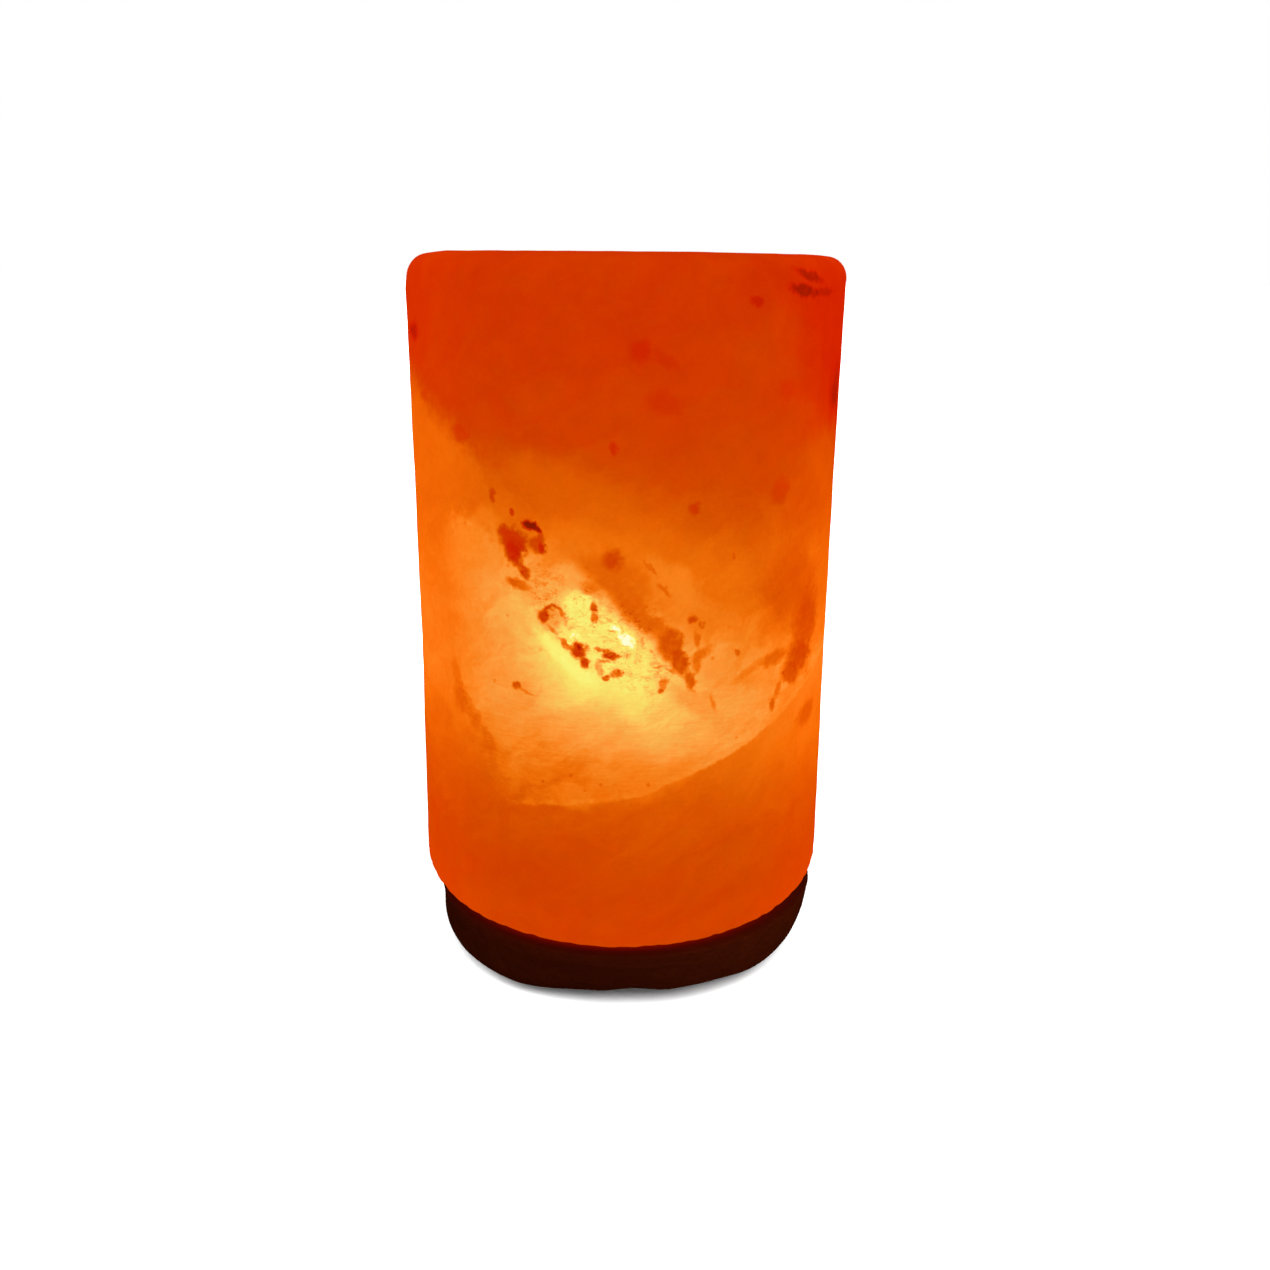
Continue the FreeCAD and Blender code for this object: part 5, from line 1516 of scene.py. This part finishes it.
@dataclass
class Lampholder:
    """The small black holder with its block, contacts, screw shell, spring clip and ring nut."""

    barrel_bottom: float = 22.0
    shoulder_top: float = 35.0
    mouth_z: float = 58.0
    shoulder_r: float = 15.2
    thread_r: float = 14.0
    thread_pitch: float = 2.0
    thread_depth: float = 0.55
    lower_inner_r: float = 12.25
    upper_inner_r: float = 10.9
    ledge_z: float = 31.5
    mouth_r: float = 9.2
    lip: float = 2.0
    grips: int = 16
    grip_depth: float = 0.5
    grip_start: float = 0.55  # cosine at which a finger groove starts
    grip_end: Tuple[float, float] = (28.6, 31.2)  # heights between which the grooves run out
    shell_bottom: float = 31.5
    shell_top: float = 50.0
    shell_inner_r: float = 7.02
    shell_wall: float = 0.36
    shell_depth: float = 0.62
    shell_flange_r: float = 4.2
    cap_pitch: float = 2.82

    def barrel(self) -> Grid:
        """The barrel: 16 finger grooves round its shoulder, and a thread of r - d (1 - wave) above them."""
        columns = self.grips * 12
        outer = joined([
            run((self.shoulder_r - 0.4, self.barrel_bottom), (self.shoulder_r, self.barrel_bottom + 0.4), 3),
            run((self.shoulder_r, self.barrel_bottom + 0.4), (self.shoulder_r, self.shoulder_top - 0.3), 26),
            run((self.shoulder_r, self.shoulder_top - 0.3), (self.shoulder_r - 0.3, self.shoulder_top), 2),
            run((self.shoulder_r - 0.3, self.shoulder_top), (self.thread_r, self.shoulder_top), 3),
            run((self.thread_r, self.shoulder_top), (self.thread_r, self.mouth_z - 0.7), 130),
            run((self.thread_r, self.mouth_z - 0.7), (self.thread_r - 0.7, self.mouth_z), 3),
        ])
        inner = joined([
            run((self.thread_r - 0.7, self.mouth_z), (self.mouth_r + 0.4, self.mouth_z), 4),
            quarter((self.mouth_r + 0.4, self.mouth_z - 0.4), 0.4, 90.0, 180.0, 4),
            run((self.mouth_r, self.mouth_z - 0.4), (self.mouth_r, self.mouth_z - self.lip), 4),
            run((self.mouth_r, self.mouth_z - self.lip), (self.upper_inner_r, self.mouth_z - self.lip), 3),
            run((self.upper_inner_r, self.mouth_z - self.lip), (self.upper_inner_r, self.ledge_z), 12),
            run((self.upper_inner_r, self.ledge_z), (self.lower_inner_r, self.ledge_z), 3),
            run((self.lower_inner_r, self.ledge_z), (self.lower_inner_r, self.barrel_bottom), 8),
            run((self.lower_inner_r, self.barrel_bottom), (self.shoulder_r - 0.4, self.barrel_bottom), 4),
        ])
        radius, height = spread(joined([outer, inner])[:-1], columns)
        turn = angles(columns)[None, :]
        on_thread = (np.abs(radius - self.thread_r) < 0.01) & (height > self.shoulder_top + 0.05)
        fade = smooth_step(height, self.shoulder_top + 0.2, self.shoulder_top + 1.6)
        wave = rolled_thread(turn, height, self.thread_pitch) ** 0.7
        radius = np.where(on_thread, radius - self.thread_depth * (1.0 - wave) * fade, radius)
        groove = np.clip(np.cos(turn * self.grips), self.grip_start, 1.0) - self.grip_start
        depth = self.grip_depth * groove / (1.0 - self.grip_start)
        on_shoulder = (radius > self.shoulder_r - 0.45) & (height < self.shoulder_top - 1.0)
        radius = np.where(on_shoulder, radius - depth * (1.0 - smooth_step(height, *self.grip_end)), radius)
        return turned(radius, height, loop=True)

    def shell(self) -> Grid:
        """The brass screw shell: one thin wall rolled to a thread, inner r + d (1 - wave), with a flange."""
        columns = 96
        count = 110
        low, high = self.shell_bottom + self.shell_wall, self.shell_top
        wall = np.linspace(low, high, count)
        turn = angles(columns)[None, :]
        upper = 1.0 - 0.6 * smooth_step(wall, high - 0.9, high - 0.2)
        fade = smooth_step(wall, low + 0.6, low + 2.4) * upper
        wave = rolled_thread(turn, wall[:, None], self.cap_pitch)
        inner = self.shell_inner_r + self.shell_depth * wave * fade[:, None]
        outer = inner + self.shell_wall
        flange = np.full((1, columns), self.shell_flange_r)
        foot = np.full((1, columns), self.shell_inner_r + self.shell_wall)
        radius = np.concatenate([flange, foot, outer, inner[::-1], flange])
        rise = np.concatenate([[self.shell_bottom, self.shell_bottom], wall, wall[::-1], [low]])
        height = np.repeat(rise[:, None], columns, axis=1)
        return turned(radius, height, loop=True)

    def build(self) -> None:
        """Makes the threaded pieces and dresses the others."""
        barrel = piece(
            "holder_barrel_threaded", [self.barrel()], Body.HOLDER, "holder_barrel",
            crease=50.0,
        )
        shell = piece(
            "screw_shell_rolled", [self.shell()], Body.HOLDER, "screw_shell", crease=50.0
        )
        PLASTIC.dress(barrel)
        BRASS.dress(shell)
        dress_nodes({
            "holder_cap": PLASTIC, "ring_nut": PLASTIC, "contact_block": CERAMIC, "centre_contact": BRASS,
            "side_contact": BRASS, "block_rivets": BRASS, "terminal_blocks": BRASS, "terminal_screws": ZINC,
            "spring_clip": SPRING_STEEL,
        })


@dataclass
class Bulb:
    """The pygmy bulb: glass, stem, wires, coiled filament and threaded cap."""

    rim_z: float = 57.0
    top_z: float = 88.0
    glass_r: float = 12.5
    glass_wall: float = 0.6
    neck_r: float = 6.2
    neck_bottom: float = 52.0
    swell_start: float = 1.0
    swell: float = 9.0
    cap_r: float = 6.95
    cap_wall: float = 0.3
    cap_bottom: float = 38.5
    cap_depth: float = 0.7
    cap_rim_r: float = 7.6
    cap_pitch: float = 2.82
    filament_r: float = 7.5
    filament_z: float = 75.0
    coil_r: float = 0.22
    coil_turns: int = 64
    wire: float = 0.1

    def glass(self) -> Grid:
        """Blown glass: neck, two tangent arcs that widen it, straight side and round top."""
        widening = self.glass_r - self.neck_r
        bend = (self.swell ** 2 + widening ** 2) / (4.0 * widening)
        turn = math.degrees(math.asin(self.swell / 2.0 / bend))
        low = (self.neck_r + bend, self.rim_z + self.swell_start)
        high = (self.glass_r - bend, self.rim_z + self.swell_start + self.swell)
        dome = (0.0, self.top_z - self.glass_r)

        def skin(wall: float) -> Array:
            """One skin of the glass, from the neck to the top."""
            return joined([
                run((self.neck_r - wall, self.neck_bottom), (self.neck_r - wall, low[1]), 8),
                quarter(low, bend + wall, 180.0, 180.0 - turn, 12),
                quarter(high, bend - wall, -turn, 0.0, 12),
                run((self.glass_r - wall, high[1]), (self.glass_r - wall, dome[1]), 6),
                quarter(dome, self.glass_r - wall, 0.0, 90.0, 24),
            ])

        outer, inner = skin(0.0), skin(self.glass_wall)
        outer[-1, 0] = inner[-1, 0] = 0.0
        rows = np.concatenate([outer[::-1], inner])
        return turned_profile(rows, 96, loop=False)

    def filament(self) -> Grid:
        """The coil: path = (R + c cos k) round the front half ring, z = h + c sin k, k = turns * way."""
        way = np.linspace(0.0, 1.0, self.coil_turns * 14 + 1)
        along = np.pi * (way - 0.5)
        spin = TURN * self.coil_turns * way
        reach = self.filament_r + self.coil_r * np.cos(spin)
        radial = np.stack([np.sin(along), -np.cos(along), np.zeros_like(along)], axis=1)
        path = radial * reach[:, None]
        path[:, 2] = self.filament_z + self.coil_r * np.sin(spin)
        side = radial * np.cos(spin)[:, None]
        side[:, 2] = np.sin(spin)
        return tube(path, side, self.wire, 6)

    def cap(self) -> Grid:
        """The threaded cap: r - d (1 - wave) between a turned-in lower edge and a flared rim."""
        columns = 96
        flare = self.rim_z - 2.5
        body = np.linspace(self.cap_bottom + 1.0, flare, 100)
        turn = angles(columns)[None, :]
        upper = 1.0 - smooth_step(body, flare - 2.2, flare - 0.6)
        fade = smooth_step(body, self.cap_bottom + 1.0, self.cap_bottom + 2.6) * upper
        wave = rolled_thread(turn, body[:, None], self.cap_pitch)
        wall = self.cap_r - self.cap_depth * (1.0 - wave) * fade[:, None]
        plain = np.ones((1, columns))
        outer = np.concatenate([plain * (self.cap_r - 1.0), wall, plain * self.cap_rim_r])
        rise = np.concatenate([[self.cap_bottom], body, [self.rim_z]])
        radius = np.concatenate([outer, outer[::-1] - self.cap_wall])
        height = np.repeat(np.concatenate([rise, rise[::-1]])[:, None], columns, axis=1)
        return turned(radius, height, loop=True)

    def build(self) -> None:
        """Makes glass, filament and cap, and dresses the others."""
        CLEAR.dress(piece("bulb_envelope", [self.glass()], Body.BULB, "bulb_glass"))
        HOT_WIRE.dress(piece("filament_coil", [self.filament()], Body.BULB, "filament"))
        NICKEL.dress(piece("bulb_cap_threaded", [self.cap()], Body.BULB, "bulb_cap", crease=50.0))
        dress_nodes({
            "bulb_stem": CLEAR, "lead_wires": NICKEL, "support_wires": NICKEL,
            "cap_insulator": CAP_GLASS, "cap_contact": NICKEL,
        })


@dataclass
class Studio:
    """Pale floor, white surroundings, two broad soft lights, and the camera."""

    floor_size: float = 12.0
    floor_colour: Colour = (0.93, 0.93, 0.93)
    sky: float = 1.0
    # strength, degrees above the table, and degrees from the front towards +X
    keys: Tuple[Point, ...] = ((2.8, 52.0, -42.0), (3.6, 52.0, 42.0))
    key_spread: float = 45.0
    camera_place: Point = (2.99, -306.9, 172.56)
    camera_tilt: float = 72.95
    camera_roll: float = 0.0113
    lens: float = 36.34

    def floor(self) -> None:
        """One flat sheet, clear when seen from below, so that the underside can be looked at."""
        half = self.floor_size / 2.0
        mesh = bpy.data.meshes.new("floor")
        corners = [(-half, -half, 0.0), (half, -half, 0.0), (half, half, 0.0), (-half, half, 0.0)]
        mesh.from_pydata(corners, [], [(0, 1, 2, 3)])
        sheet = placed("floor", mesh)
        material = bpy.data.materials.new("floor_pale")
        material.use_nodes = True
        graph = Graph(material.node_tree)
        shader = node_of(material.node_tree, "BSDF_PRINCIPLED")
        shader.inputs["Base Color"].default_value = (*self.floor_colour, 1.0)
        shader.inputs["Roughness"].default_value = 0.9
        shader.inputs["Specular IOR Level"].default_value = 0.0
        clear = graph.node("BsdfTransparent", {})
        behind = graph.node("NewGeometry", {}).outputs["Backfacing"]
        both = graph.node("MixShader", {0: behind, 1: shader.outputs[0], 2: clear.outputs[0]})
        leave = node_of(material.node_tree, "OUTPUT_MATERIAL")
        graph.feed(leave.inputs["Surface"], both.outputs[0])
        mesh.materials.append(material)

    def lights(self) -> None:
        """White surroundings, and a broad light from either side of the camera, the right one stronger."""
        world = bpy.data.worlds.new("studio")
        world.use_nodes = True
        back = node_of(world.node_tree, "BACKGROUND")
        back.inputs["Color"].default_value = (1.0, 1.0, 1.0, 1.0)
        back.inputs["Strength"].default_value = self.sky
        bpy.context.scene.world = world
        for strength, above, aside in self.keys:
            data = bpy.data.lights.new("key", "SUN")
            data.energy = strength
            data.angle = math.radians(self.key_spread)
            light = placed("key", data)
            light.rotation_euler = (math.radians(90.0 - above), 0.0, math.radians(aside))

    def camera(self) -> None:
        """The camera at the photograph's place and angle."""
        data = bpy.data.cameras.new("camera")
        data.sensor_width = 36.0
        data.lens = self.lens
        data.clip_start = 0.01
        data.clip_end = 50.0
        eye = placed("camera", data)
        tilt = Euler((math.radians(self.camera_tilt), 0.0, 0.0)).to_matrix()
        roll = Matrix.Rotation(self.camera_roll, 3, "Z")
        place = Matrix.Translation([part * MM for part in self.camera_place])
        eye.matrix_world = place @ (tilt @ roll).to_4x4()
        bpy.context.scene.camera = eye

    def build(self) -> None:
        """Sets the stage."""
        bpy.context.scene.view_settings.view_transform = "Standard"
        self.floor()
        self.lights()
        self.camera()


def main() -> None:
    """Builds the lamp's sub-assemblies in order, then the studio."""
    logging.basicConfig(level=logging.INFO, format="%(name)s: %(message)s")
    for part in (SaltBlock(), WoodBase(), Lampholder(), Bulb(), Studio()):
        LOG.info("building %s", type(part).__name__)
        part.build()
    bpy.context.view_layer.update()


if __name__ == "__main__":
    main()
